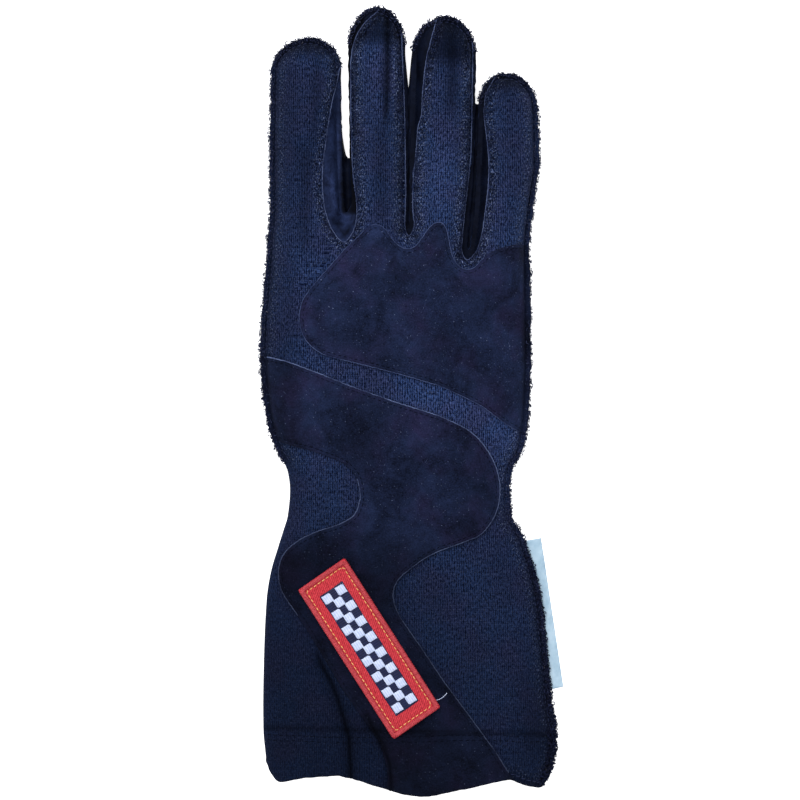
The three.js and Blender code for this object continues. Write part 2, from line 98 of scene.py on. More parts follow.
class Panel(Enum):
    """The cloth that a surface point belongs to, which sets how high it lies at a seam."""

    KNIT = "knit"
    SIDE_STRIP = "side strip"
    OVERLAY = "overlay"
    PATCH_BED = "patch bed"


# Small helpers for sizes and lines


def ease(start: float, end: float, value: Array) -> Array:
    """A soft step from 0 at start to 1 at end."""
    share = np.clip((np.asarray(value, float) - start) / (end - start), 0, 1)
    return share * share * (3 - 2 * share)


def bump(value: Array, place: float, width: float) -> Array:
    """A smooth bump of height 1 at a place, which falls off over a width."""
    return np.exp(-(((value - place) / width) ** 2))


def soft_max(a: Array, b: Array, blend: float) -> Array:
    """The larger of two heights, with the crease between them rounded over a blend height."""
    near = np.clip(blend - np.abs(a - b), 0, None) / blend
    return np.maximum(a, b) + near * near * blend / 4


def uneven(x: Array, y: Array, size: float, seed: int) -> Array:
    """Smooth unevenness of cloth.

    Args:
        x: Places across the glove.
        y: Places along the glove.
        size: How far apart its humps are.
        seed: Which of many such patterns.

    Returns:
        Heights from -1 to 1.
    """
    gx, gy = np.asarray(x, float) / size, np.asarray(y, float) / size
    ix, iy = np.floor(gx), np.floor(gy)
    fx, fy = gx - ix, gy - iy
    fx, fy = fx * fx * (3 - 2 * fx), fy * fy * (3 - 2 * fy)

    def corner(dx: int, dy: int) -> Array:
        """A fixed chance value at one corner of the pattern's grid."""
        wave = np.sin((ix + dx) * 127.1 + (iy + dy) * 311.7 + seed * 74.7) * 43758.5453
        return 2 * (wave - np.floor(wave)) - 1

    low, high = (corner(0, row) * (1 - fx) + corner(1, row) * fx for row in (0, 1))
    return low * (1 - fy) + high * fy


def evenly(line: Array, step: float, closed: bool = False) -> Array:
    """A line with its points set an even step apart.

    Args:
        line: Points along the line, two or three numbers each.
        step: The wanted distance between points.
        closed: Whether it closes on itself.

    Returns:
        The new points. A closed line doesn't repeat its first point.
    """
    points = np.vstack([line, line[:1]]) if closed else np.asarray(line, float)
    travel = np.concatenate([[0], np.cumsum(np.linalg.norm(np.diff(points, axis=0), axis=1))])
    places = np.linspace(0, travel[-1], max(3, int(round(travel[-1] / step)) + 1))
    made = np.stack([np.interp(places, travel, points[:, k]) for k in range(points.shape[1])], 1)
    return made[:-1] if closed else made


def rounded(line: Array, step: float, passes: int, closed: bool = False) -> Array:
    """A line with its corners worn round, and with the ends of an open line kept.

    Args:
        line: Points along the line.
        step: The distance between its new points.
        passes: How often each point is drawn towards its neighbours.
        closed: Whether it closes on itself.

    Returns:
        The new points.
    """
    points = evenly(line, step, closed)
    for _ in range(passes):
        softer = points / 2 + (np.roll(points, 1, 0) + np.roll(points, -1, 0)) / 4
        if not closed:
            softer[0], softer[-1] = points[0], points[-1]
        points = softer
    return evenly(points, step, closed)


def sideways(line: Array, closed: bool = False) -> Array:
    """The way to the left of a line's travel.

    Args:
        line: Points along the line.
        closed: Whether it closes on itself.

    Returns:
        Unit directions in plan.
    """
    if closed:
        along = np.roll(line, -1, 0) - np.roll(line, 1, 0)
    else:
        along = np.gradient(line, axis=0)
    along = along[:, :2] / np.maximum(np.linalg.norm(along[:, :2], axis=1, keepdims=True), 1e-9)
    return np.stack([-along[:, 1], along[:, 0]], 1)


def inside(outline: Array, points: Array) -> Array:
    """Which points lie inside a closed outline in plan.

    Args:
        outline: Points along the outline.
        points: The places to test.

    Returns:
        True for each place inside.
    """
    x, y = points[:, 0], points[:, 1]
    found = np.zeros(len(points), bool)
    for (ax, ay), (bx, by) in zip(outline[:, :2], np.roll(outline, -1, 0)[:, :2]):
        if ay != by:
            found ^= ((ay > y) != (by > y)) & (x < (bx - ax) * (y - ay) / (by - ay) + ax)
    return found


def distance_to(line: Array, points: Array, closed: bool = False) -> Array:
    """How far points lie from a line in plan.

    Args:
        line: Points along the line.
        points: The places to measure from.
        closed: Whether it closes on itself.

    Returns:
        One distance for each place.
    """
    dense = evenly(np.asarray(line, float)[:, :2], 0.4, closed)
    tree = KDTree(len(dense))
    for i, (x, y) in enumerate(dense):
        tree.insert((x, y, 0), i)
    tree.balance()
    nearest = np.array([tree.find((x, y, 0))[1] for x, y in points[:, :2]])
    best = np.full(len(points), np.inf)
    for shift in (-1, 0):
        start = nearest + shift
        if closed:
            a, b = dense[start % len(dense)], dense[(start + 1) % len(dense)]
        else:
            start = np.clip(start, 0, len(dense) - 2)
            a, b = dense[start], dense[start + 1]
        run = b - a
        share = np.einsum("ij,ij->i", points[:, :2] - a, run)
        share = np.clip(share / np.maximum(np.einsum("ij,ij->i", run, run), 1e-12), 0, 1)
        best = np.minimum(best, np.linalg.norm(points[:, :2] - a - run * share[:, None], axis=1))
    return best


@dataclass(frozen=True)
class SizeTable:
    """Sizes along the glove, read on a smooth curve that never overshoots its rows.

    Each row starts with its place along the glove.
    """

    rows: tuple[tuple[float, ...], ...]

    def at(self, column: int, y: Array) -> Array:
        """One size at places along the glove, held level past both ends.

        Args:
            column: Which number of each row, with its place as 0.
            y: Places along the glove.

        Returns:
            The column's values there.
        """
        places = np.array([row[0] for row in self.rows])
        values = np.array([row[column] for row in self.rows])
        slopes = np.diff(values) / np.diff(places)
        tangents = np.concatenate([slopes[:1], np.zeros(len(slopes) - 1), slopes[-1:]])
        before, after = slopes[:-1], slopes[1:]
        same = before * after > 0
        tangents[1:-1][same] = 2 * (before * after)[same] / (before + after)[same]
        y = np.clip(np.asarray(y, float), places[0], places[-1])
        i = np.clip(np.searchsorted(places, y, side="right") - 1, 0, len(slopes) - 1)
        span = places[i + 1] - places[i]
        t = (y - places[i]) / span
        rise = t * t * (3 - 2 * t)
        bend = t * (1 - t) ** 2 * tangents[i] - t * t * (1 - t) * tangents[i + 1]
        return values[i] * (1 - rise) + values[i + 1] * rise + span * bend


# The shape of the glove


@dataclass(frozen=True)
class Finger:
    """One finger: its tip, where its rounding and its dark fuzz and painted shade start, and its outline with
    flanges.
    """

    name: str
    tip: tuple[float, float]
    cap_start: float
    dark_tip_start: float
    sides: SizeTable


@dataclass(frozen=True)
class Crease:
    """A fold pressed into the cloth along a path: a soft valley with a sharp bottom and rolled lips.

    It fades at both ends of its path. A depth below 0 makes a soft ridge.
    """

    path: Path
    depth: float
    width: float
    sharp: float = 0.0
    # The painted shade in the valley, as a share; below 0 it is a painted highlight on the ridge.
    shade: float = 0.25
    fade: float = 10.0
    sharp_width: float = 0.9
    # The lips' height as a share of the depth, and how many widths from the bottom they stand.
    lip: float = 0.25
    lip_place: float = 2.2

    def beside(self, x: Array, y: Array) -> tuple[Array, Array]:
        """How places lie beside the path.

        Args:
            x: Places across the glove.
            y: Places along the glove.

        Returns:
            How far each lies from the path, and how strongly the crease shows there.
        """
        apart, travel, done = np.full(x.shape, np.inf), np.zeros(x.shape), 0.0
        for start, end in zip(self.path, self.path[1:]):
            run = np.subtract(end, start)
            length = float(np.hypot(*run))
            share = ((x - start[0]) * run[0] + (y - start[1]) * run[1]) / length**2
            share = np.clip(share, 0, 1)
            gap = np.hypot(x - start[0] - run[0] * share, y - start[1] - run[1] * share)
            travel = np.where(gap < apart, done + share * length, travel)
            apart = np.minimum(apart, gap)
            done += length
        return apart, ease(0, self.fade, travel) * ease(0, self.fade, done - travel)

    def section(self, apart: Array) -> Array:
        """The valley with its sharp bottom, as a share of its depth."""
        valley, bottom = bump(apart, 0, self.width), bump(apart, 0, self.sharp_width)
        return valley * (1 - self.sharp) + bottom * self.sharp

    def depth_at(self, x: Array, y: Array) -> Array:
        """How far the crease presses the surface in at each place."""
        apart, shown = self.beside(x, y)
        lip = self.lip * bump(apart / self.width, self.lip_place, 1)
        return self.depth * shown * (self.section(apart) - lip)

    def shade_at(self, x: Array, y: Array) -> Array:
        """How much darker the crease's painted shade makes the cloth, as a share."""
        apart, shown = self.beside(x, y)
        return self.shade * shown * self.section(apart)


@dataclass(frozen=True)
class GloveShape:
    """The tables of sizes of the whole glove, and the surfaces and outlines that follow from them."""

    lie: SizeTable = SizeTable((
        (-172, 0, 4.8, 10.5), (-150, 0, 5, 11.5), (-100, 0, 6, 14), (-62, 0, 7.4, 15), (-38, 3, 10, 17),
        (-14, 9.5, 15.5, 23), (0, 11.8, 17.8, 26), (25, 12.2, 18.8, 27.6), (48, 12, 18.8, 27.6),
        (66, 9.6, 16.6, 25.4), (88, 4.4, 12, 20.8), (110, 1, 8.4, 17), (130, 0, 6.8, 14.8),
        (172, 0, 6, 12.6),
    ))
    hand: SizeTable = SizeTable((
        (-172, -58, 54.5), (-157, -60.5, 58), (-147, -61.7, 60.2), (-138, -62.5, 60.4), (-128, -62.6, 58.9),
        (-106, -62.2, 56.7), (-83, -61.1, 54.2), (-72, -59.4, 51.7), (-61, -56.2, 48.1), (-54, -54, 45.3),
        (-48, -52.2, 41.5), (-37, -51.2, 40.9), (-29, -52.2, 41.8), (-20, -56.9, 46.4), (-4, -61.3, 48.8),
        (20, -63.4, 49.6), (60, -60.9, 49.1),
    ))
    fingers: tuple[Finger, ...] = (
        Finger("index", (-43.3, 152.7), 138.5, 144, SizeTable((
            (30, -61.5, -24), (66, -60.5, -26.9), (79, -59.4, -28.1), (107, -59.6, -29.4),
            (138.5, -59.2, -29.8),
        ))),
        Finger("middle", (-14.7, 165.7), 148, 149, SizeTable((
            (30, -37, 6), (73, -26.8, -1.9), (86, -25.4, -1.9), (107, -26.2, -1.7), (148, -26.9, -2.9),
        ))),
        Finger("ring", (13.9, 161.7), 145, 141, SizeTable((
            (30, -8, 33), (63, -1.4, 23.1), (90, -0.9, 25.4), (118, -0.8, 26.4), (145, -0.2, 26.9),
        ))),
        Finger("little", (39.5, 138.0), 123.5, 129.5, SizeTable((
            (28, 14, 49.4), (63, 24, 49.1), (82, 26.3, 50.8), (101, 27.2, 53.3), (123.5, 28, 52.7),
        ))),
    )
    # Where the back of the hand comes down between the fingers, read by places across the glove.
    hand_end: SizeTable = SizeTable(((-60, 78), (-27.7, 75.5), (-1.6, 71.0), (23.6, 61.0), (50, 60)))
    hand_end_rounding: float = 21.0
    crotches: Path = ((-27.7, 78.3), (-1.6, 72.9), (23.6, 62.8))
    flange_width: float = 2.2
    flange_half: float = 1.6
    fold_start: float = -26.0
    fold_wrap: float = 8.0
    hem_band: float = -139.0
    fray: float = 0.22
    hem: Path = (
        (-61.7, -150.6), (-59.6, -155.6), (-56.3, -160.2), (-44.9, -158.1), (-31, -156.9), (-21.8, -159.4),
        (-7.1, -164), (1.3, -165.7), (7.6, -165.7), (22, -162.8), (41.2, -158.5), (47.5, -161.5),
        (54.2, -162.4), (58, -157.3),
    )
    hand_crown: float = 2.7
    finger_crown: float = 2.3
    tip_fall: float = 0.8
    # The cuff's creases, with painted shade in them.
    cuff_creases: tuple[Crease, ...] = (
        Crease((
            (-41, -102), (-38.3, -109.6), (-34.3, -117), (-31.4, -124), (-28.4, -134), (-26.4, -141),
            (-25.4, -160), (-25, -180),
        ), 2.2, 2.8, 0.55, 0.75, 9, 0.8),
        Crease((
            (-20, -127), (-17, -136), (-14, -141), (-9.6, -151), (-8.6, -161), (-8.5, -180),
        ), 1.9, 2.6, 0.55, 0.65, 8, 0.8),
    )
    # Dents and ridges on the fingers and the back: the dents carry painted shade and the ridges a painted
    # highlight.
    dents: tuple[Crease, ...] = (
        Crease(((-45, 60), (-43.8, 86), (-43.2, 112)), 1.5, 3.0, shade=0.4),
        Crease(((-41, 104), (-40, 125), (-38.5, 150)), 1.0, 2.2),
        Crease(((-12, 68), (-12.8, 95), (-12.5, 122)), 1.2, 3.4, shade=0.36),
        Crease(((-11.2, 112), (-10.6, 128), (-10.2, 145), (-10.6, 172)), 1.9, 1.5, 0.4, 0.86),
        Crease(((-7, 118), (-6.8, 140), (-7.4, 160)), -0.8, 1.3, shade=-0.3),
        Crease(((16.4, 116), (16.9, 140), (16, 170)), 1.3, 2.8, shade=0.5),
        Crease(((41, 104), (42, 138)), 0.8, 3.4, shade=0.15),
        Crease(((8, -58), (9.5, -14)), -0.7, 2.8, shade=-0.25),
        Crease(((-2, -56), (-1, -8)), 0.7, 2.8),
        Crease(((-22, -28), (-6, -72)), 0.7, 4.0, shade=0.15),
    )
    # The leather's fold round the bottom of the widest gap, with a painted highlight on it, and the creases
    # under it, with painted shade.
    gap_folds: tuple[Crease, ...] = (
        Crease((
            (-33.4, 97), (-32.8, 88), (-31.2, 81), (-28.4, 76.6), (-26.4, 78.6), (-25.6, 84),
        ), -1.0, 1.4, shade=-0.9, fade=5),
        Crease(((-31.9, 75.5), (-28.2, 69.6), (-25, 74)), 0.9, 0.9, shade=0.7, fade=1.5),
    )
    # Where one finger's tip ends and the next one's starts, across the glove.
    tip_gaps: tuple[float, float, float] = (-28.3, -1.5, 27.4)

    def seam(self, y: Array) -> Array:
        """The height of the side seam along the glove."""
        return self.lie.at(2, y)

    def sewn(self, x: Array, y: Array) -> Array:
        """The share of its width that the flange has: none along the gauntlet's plain fold."""
        start = self.fold_start
        return np.where(np.asarray(x) < 0, ease(start - 4, start + 4, y), 1.0)

    def raw_edge(self, x: Array, y: Array) -> Array:
        """The share of raw terry on the rim, which shows on the outer sides and round the fingertips."""
        cap = np.array([finger.cap_start for finger in self.fingers])[np.searchsorted(self.tip_gaps, x)]
        return np.maximum(ease(38, 42, np.abs(x)), ease(0, 4, y - cap)) * self.sewn(x, y)

    def tip_fuzz_and_shade(self, x: Array, y: Array) -> Array:
        """The share of the dark fuzz and painted shade that shows towards the fingertips."""
        start = np.array([finger.dark_tip_start for finger in self.fingers])[np.searchsorted(self.tip_gaps, x)]
        return ease(start - 2, start + 5, y)

    def above_hem_groove(self, x: Array, y: Array) -> Array:
        """How far places lie above the groove where the turned hem starts."""
        return y - self.hem_band - 0.5 + 0.025 * (x + 2)

    def reach(self, side: Side, y: Array) -> Array:
        """How far the back rises over the seam, or the underside falls below it."""
        return np.abs(self.lie.at(3 if side is Side.BACK else 1, y) - self.seam(y))

    def sunk(self, y: Array) -> Array:
        """The share of its height that a finger keeps where its root sinks into the hand."""
        return 0.5 + 0.5 * ease(28, 64, y)

    def section(self, side: Side, across: Array, crown: float) -> Array:
        """The share of its height that a section has at a place from -1 to 1 across it."""
        away = np.clip(np.abs(across), 0, 1)
        if side is Side.BACK:
            return (1 - away**crown) ** (1 / crown)
        return np.minimum(1, 1.06 * (1 - away**4) ** 0.25)

    def hand_form(self, side: Side, x: Array, y: Array) -> tuple[Array, Array]:
        """The hand and gauntlet alone.

        Args:
            side: The face of the glove.
            x: Places across the glove.
            y: Places along the glove.

        Returns:
            The height over the seam, and where across the section each place is, from -1 to 1.
        """
        into = np.clip((y - self.hand_end.at(1, x) + self.hand_end_rounding) / self.hand_end_rounding, 0, 1)
        share = np.sqrt(1 - into**2)
        left = self.hand.at(1, y) + self.flange_width * self.sewn(-1, y)
        right = self.hand.at(2, y) - self.flange_width
        across = (x - (left + right) / 2) / ((right - left) / 2)
        return self.reach(side, y) * share * self.section(side, across, self.hand_crown), across

    def finger_form(self, finger: Finger, side: Side, x: Array, y: Array) -> tuple[Array, Array]:
        """One finger alone.

        Args:
            finger: The finger.
            side: The face of the glove.
            x: Places across the glove.
            y: Places along the glove.

        Returns:
            What hand_form gives, for this finger.
        """
        reach = finger.tip[1] - self.flange_width - finger.cap_start
        into = np.clip((y - finger.cap_start) / reach, 0, 1)
        share = np.sqrt(1 - into**2)
        row = np.minimum(y, finger.cap_start)
        left = finger.sides.at(1, row) + self.flange_width
        right = finger.sides.at(2, row) - self.flange_width
        lean = np.clip((y - finger.cap_start) / (finger.tip[1] - finger.cap_start), 0, None)
        middle = (left + right) / 2 * (1 - lean) + finger.tip[0] * lean
        across = (x - middle) / np.maximum((right - left) / 2 * share, 1e-3)
        height = self.reach(side, y) * (self.sunk(y) * ease(24, 36, y)) * share**self.tip_fall
        return height * self.section(side, across, self.finger_crown), across

    def lift(self, side: Side, x: Array, y: Array) -> tuple[Array, Array]:
        """The hand and fingers together.

        Args:
            side: The face of the glove.
            x: Places across the glove.
            y: Places along the glove.

        Returns:
            The height over the seam, and the cloth's width measured over the surface from the middle.
        """
        height, across = self.hand_form(side, x, y)
        over = x + np.sign(across) * (self.reach(side, y) - height)
        tallest = height
        for finger in self.fingers:
            one, along = self.finger_form(finger, side, x, y)
            fall = self.reach(side, y) * self.sunk(y) - one
            over = np.where(one > tallest, x + np.sign(along) * fall * 0.8, over)
            tallest = np.maximum(tallest, one)
            height = soft_max(height, one, 1.0)
        return height, over

    def finger_outline(self, finger: Finger, left_base: float, right_base: float) -> list[tuple]:
        """The outline of one finger's flange.

        Args:
            finger: The finger.
            left_base: Where along the glove its left side starts.
            right_base: Where its right side ends.

        Returns:
            Places from the left base over the tip to the right base.
        """
        cap = finger.cap_start
        left_y = np.arange(left_base, cap, 1.0)
        right_y = np.arange(right_base, cap, 1.0)[::-1]
        left, right = float(finger.sides.at(1, cap)), float(finger.sides.at(2, cap))
        turns = np.radians(np.arange(176, 2, -4))
        lean = np.sin(turns)
        middle = (left + right) / 2 * (1 - lean) + finger.tip[0] * lean
        over_x = middle + (right - left) / 2 * np.cos(turns)
        over_y = cap + (finger.tip[1] - cap) * np.sin(turns)
        return [
            *zip(finger.sides.at(1, left_y), left_y),
            *zip(over_x, over_y),
            *zip(finger.sides.at(2, right_y), right_y),
        ]

    def outline(self) -> Array:
        """The closed outline of the glove in plan, flanges included, clockwise from the hem's left end."""
        left_y = np.arange(self.hem[0][1] + 1, 62, 1.0)
        right_y = np.arange(self.hem[-1][1] + 1.5, 62, 1.0)[::-1]
        points = [*zip(self.hand.at(1, left_y), left_y)]
        bases = [60.5, *[crotch[1] for crotch in self.crotches], 60.5]
        for i, finger in enumerate(self.fingers):
            points += self.finger_outline(finger, bases[i] + 2.2, bases[i + 1] + 2.2)
            if i < len(self.crotches):
                points.append(self.crotches[i])
        points += [*zip(self.hand.at(2, right_y), right_y), *self.hem[::-1]]
        line = rounded(np.array(points, float), 0.8, 2, closed=True)
        frayed = uneven(line[:, 0], line[:, 1], 1.7, 5) + 0.7 * uneven(line[:, 0], line[:, 1], 5, 6)
        hem = line[:, 1] < self.hem_band - 10
        folded = (line[:, 0] < 0) & (line[:, 1] < self.fold_start + 4) & ~hem
        return line + sideways(line, True) * (self.fray * frayed * ~folded * (1 - 0.3 * hem))[:, None]


@dataclass(frozen=True)
class SeamLines:
    """Lines in plan that the panels are cut along."""

    # From the left finger's tip, round the crotch, to the right finger's edge.
    side_strips: tuple[tuple[str, Path], ...] = (
        ("fourchette_index_middle", (
            (-29, 200), (-29.4, 144), (-31.8, 132.9), (-33.5, 126.2), (-35.2, 116.1), (-36.2, 108.1),
            (-37.4, 99.3), (-37.6, 90.1), (-36.6, 80), (-34, 72.5), (-31.2, 68.4), (-28.4, 65.7),
            (-25.6, 69.1), (-23.6, 73.3), (-22.9, 80), (-23.7, 88), (-24.8, 96), (-25.2, 104), (-25.6, 115),
            (-25.8, 130), (-25.7, 142), (-25, 149), (-23, 154.5), (-20, 158.8), (-16.6, 162), (-13.6, 164.2),
            (-11.5, 200),
        )),
        ("fourchette_middle_ring", (
            (-4.6, 200), (-4.2, 148), (-3.4, 130), (-2.9, 110), (-2.7, 95), (-2.6, 86), (-2.9, 78),
            (-3.1, 72.5), (-1.5, 68.2), (1.3, 73.3), (0.3, 79.2), (0.3, 90.1), (0.8, 96.8), (1.8, 106),
            (2.4, 114.9), (4.1, 120.3), (4.4, 129.6), (5.8, 143), (8, 151.8), (10.5, 161), (12.5, 200),
        )),
        ("fourchette_ring_little", (
            (25, 200), (25.5, 145), (25.1, 118), (24.7, 104), (24, 96), (23.2, 89), (22, 79.2), (20.9, 67.8),
            (20.6, 62.4), (22.7, 58.2), (27, 62.4), (29.3, 69.9), (30.6, 79.2), (31.7, 88), (32.3, 96.8),
            (32, 104.8), (31, 112.8), (30, 121.6), (31, 129.6), (34.4, 135.2), (37.5, 142), (38, 200),
        )),
    )
    knuckle_suede: Path = (
        (56, 64.9), (43.3, 65.7), (36, 63.8), (30.7, 61.1), (26, 55.6), (23, 54.6), (19, 56.5), (16.4, 61.5),
        (15.4, 67), (14.6, 72), (13, 74.6), (10.5, 75.4), (7, 72.6), (4.4, 68.6), (2, 65.2), (-0.4, 63.6),
        (-2.5, 63.4), (-5.6, 65), (-8.4, 67.8), (-10.4, 71), (-12.2, 73.3), (-15.5, 74.4), (-18.5, 73),
        (-22, 69.4), (-28.1, 63.6), (-36.5, 54), (-43.3, 46), (-46, 41.6), (-46.9, 37.6), (-47.2, 33.4),
        (-46.2, 29.5), (-44.6, 25.6), (-41.8, 22.8), (-38.4, 20.2), (-34, 18.6), (-20, 15.2), (-7.1, 12),
        (11.8, 6.5), (28.6, -1.5), (39.1, -9.4), (56, -19),
    )
    wrist_suede: Path = (
        (-70, 20.5), (-61, 18.7), (-53.3, 17), (-40, 12.2), (-26, 6.5), (-6, -0.6), (11.8, -6.1),
        (22.3, -11.1), (27.2, -14.8), (30.7, -19.1), (33.8, -24.2), (35.9, -29.5), (36.9, -34.6),
        (36.9, -39), (36.2, -44), (34.5, -48.5), (31.8, -52.8), (28.2, -56.4), (20, -59.6), (11.8, -62.4),
        (5.2, -65.6), (0, -69.5), (-4, -72.6), (-6.5, -75.5), (-8, -79), (-8, -82.1), (-7, -86.4),
        (-5, -90.5), (3, -102), (13.9, -118.2), (24, -131.8), (34.9, -146.8), (47, -166), (47, -175),
        (-9, -175), (-10.5, -152.7), (-13.4, -143), (-28.5, -121.6), (-45, -94), (-51.5, -84.5),
        (-54.4, -80.4), (-55.6, -76.5), (-56.2, -72.4), (-55.7, -68), (-54.2, -64.4), (-51.8, -61.4),
        (-46, -57.2), (-38.6, -54), (-31.8, -52), (-26.5, -49.6), (-23.8, -47.4), (-22.6, -44.5),
        (-21.6, -41), (-21.8, -37), (-22.6, -33), (-24.6, -29.4), (-27.8, -26.4), (-32, -24.2), (-41, -21),
        (-51.2, -18.3), (-70, -11.5),
    )


# Cutting the plan into fine triangles


@dataclass
class PlanCut:
    """A flat cut of one face of the glove into triangles that follow its outline and its inner lines."""

    outline: Array
    inner_lines: list[tuple[Array, bool]]
    spacing: float
    edge_rows: tuple[float, ...]
    line_rows: tuple[float, ...]
    row_step: float = 1.1
    points: Array = field(init=False)
    triangles: Array = field(init=False)
    middles: Array = field(init=False)

    def __post_init__(self) -> None:
        """Lays the points and joins them."""
        places = [Vector(p) for p in self.scattered()]
        joins = []
        for line, closed in [(self.outline, True), *self.inner_lines]:
            first = len(places)
            places += [Vector(p) for p in line[:, :2]]
            joins += [(first + k, first + k + 1) for k in range(len(line) - 1)]
            if closed:
                joins.append((first + len(line) - 1, first))
        made = delaunay_2d_cdt(places, joins, [], 0, 1e-4, False)
        self.points = np.array([tuple(p) for p in made[0]])
        triangles = np.array([face for face in made[2] if len(face) == 3])
        self.triangles = triangles[inside(self.outline, self.points[triangles].mean(1))]
        a, b, c = (self.points[self.triangles[:, k]] for k in range(3))
        turn = np.cross(b - a, c - a)
        self.triangles[turn < 0] = self.triangles[turn < 0][:, ::-1]
        self.triangles = self.triangles[np.abs(turn) > 1e-7]
        self.middles = self.points[self.triangles].mean(1)

    def scattered(self) -> Array:
        """Points between the lines: rows beside each line, then an even field further in."""
        found = []
        both_sides = [s * row for row in self.line_rows for s in (-1, 1)]
        jobs = [(self.outline, True, [-row for row in self.edge_rows])]
        jobs += [(line, closed, both_sides) for line, closed in self.inner_lines]
        for line, closed, rows in jobs:
            spaced = evenly(line, self.row_step, closed)
            aside = sideways(spaced, closed)
            for row in rows:
                found.append((spaced + aside * row, abs(row)))
        low, high = self.outline.min(0), self.outline.max(0)
        lanes = np.arange(low[1], high[1], self.spacing * 0.866)
        x, y = np.meshgrid(np.arange(low[0], high[0], self.spacing), lanes)
        x = x + (np.arange(len(lanes)) % 2)[:, None] * self.spacing / 2
        found.append((np.stack([x.ravel(), y.ravel()], 1), 0))
        points = np.vstack([p for p, _ in found])
        offsets = np.concatenate([np.full(len(p), row) for p, row in found])
        kept = inside(self.outline, points)
        points, offsets = points[kept], offsets[kept]
        edge = distance_to(self.outline, points, True)
        near = np.full(len(points), np.inf)
        for line, closed in self.inner_lines:
            near = np.minimum(near, distance_to(line, points, closed))
        gap = self.spacing * 0.55
        in_field = (edge > self.edge_rows[-1] + gap) & (near > self.line_rows[-1] + gap)
        closest = np.minimum(edge, near)
        in_row = (closest > 0.9 * np.minimum(offsets, 0.9)) & (closest > 0.06) & (closest > 0.55 * offsets)
        return points[np.where(offsets == 0, in_field, in_row)]


def linked(name: str, data: Any) -> Thing:
    """A new object that holds the data, put in the scene."""
    thing = bpy.data.objects.new(name, data)
    bpy.context.scene.collection.objects.link(thing)
    return thing


def solid_sheet(name: str, parts: Sequence[Sheet], weld: bool = False) -> Thing:
    """A mesh object from one or more sheets.

    Args:
        name: The new object's name.
        parts: The sheets.
        weld: Whether points that fall together are joined.

    Returns:
        The object, at the origin.
    """
    points = np.vstack([part[0] for part in parts]) * MM
    firsts = np.cumsum([0, *[len(part[0]) for part in parts[:-1]]])
    triangles = np.vstack([part[1] + first for part, first in zip(parts, firsts)])
    flat = np.vstack([part[2] for part in parts]) * MM
    values = {
        key: np.concatenate([part[3].get(key, np.zeros(len(part[0]))) for part in parts])
        for key in sorted({key for part in parts for key in part[3]})
    }
    corners = flat[triangles.ravel()]
    if weld:
        _, first_seen, which = np.unique(
            np.round(points / 2e-6).astype(np.int64), axis=0, return_index=True, return_inverse=True
        )
        points = points[first_seen]
        values = {key: value[first_seen] for key, value in values.items()}
        triangles = which.reshape(-1)[triangles]
    used, which = np.unique(triangles, return_inverse=True)
    triangles = which.reshape(-1, 3)
    mesh = bpy.data.meshes.new(name)
    mesh.from_pydata(points[used].tolist(), [], triangles.tolist())
    mesh.uv_layers.new(name="cloth").data.foreach_set("uv", corners.astype(np.float32).ravel())
    for key, value in values.items():
        mesh.attributes.new(key, "FLOAT", "POINT").data.foreach_set(
            "value", value[used].astype(np.float32)
        )
    mesh.shade_smooth()
    mesh.update()
    return linked(name, mesh)


def thicken(thing: Thing, thickness: float) -> None:
    """Gives a sheet its thickness in millimetres, inwards from its outer face."""
    wall = thing.modifiers.new("wall", "SOLIDIFY")
    wall.thickness = thickness * MM
    wall.offset = -1
    wall.use_even_offset = False


def line_object(name: str, lines: Sequence[Array], closed: bool = False) -> Thing:
    """An object of bare edges, for Geometry Nodes to follow.

    Args:
        name: The new object's name.
        lines: Lines in millimetres.
        closed: Whether each line closes on itself.

    Returns:
        The object, at the origin.
    """
    points, edges = [], []
    for line in lines:
        first = len(points)
        points += (line * MM).tolist()
        edges += [(first + k, first + k + 1) for k in range(len(line) - 1)]
        if closed:
            edges.append((first + len(line) - 1, first))
    mesh = bpy.data.meshes.new(name)
    mesh.from_pydata(points, edges, [])
    return linked(name, mesh)


# Nodes


def add(tree: Tree, kind: str, inputs: dict | None = None, **settings: Any) -> Any:
    """Adds a node.

    Args:
        tree: The tree that it goes into.
        kind: The node's type, which may leave out the words that its kind of tree starts it with.
        inputs: Values for its sockets by name or number, with colours as sRGB hex. An output socket,
            or a node's first live output, is linked instead.
        settings: Values for the node's own settings.

    Returns:
        The node.
    """
    node = tree.nodes.new(kind if "Node" in kind else tree.bl_idname.removesuffix("Tree") + kind)
    for key, value in settings.items():
        setattr(node, key, value)
    for key, value in (inputs or {}).items():
        if isinstance(value, bpy.types.Node):
            value = next(socket for socket in value.outputs if socket.enabled)
        socket = node.inputs[key]
        if isinstance(value, bpy.types.NodeSocket):
            tree.links.new(value, socket)
        else:
            socket.default_value = srgb(value) if socket.type == "RGBA" else value
    return node


def srgb(colour: int) -> tuple[float, float, float, float]:
    """An sRGB hex colour as linear values."""
    parts = [(colour >> shift & 255) / 255 for shift in (16, 8, 0)]
    return (*[c / 12.92 if c <= 0.04045 else ((c + 0.055) / 1.055) ** 2.4 for c in parts], 1.0)


class Trim(Enum):
    """What a Geometry Nodes tree makes, with the names of its sizes."""

    STITCHES = ("Pitch", "Half length", "Thread radius", "Slant", "Wander")
    TERRY = ("Pitch", "Loop radius", "Wander", "Rows")
    CORD = ("Radius", "Wander")
    LINT = ("Density", "Fibre length", "Fibre radius")
    SQUARES = ("Size", "Height")


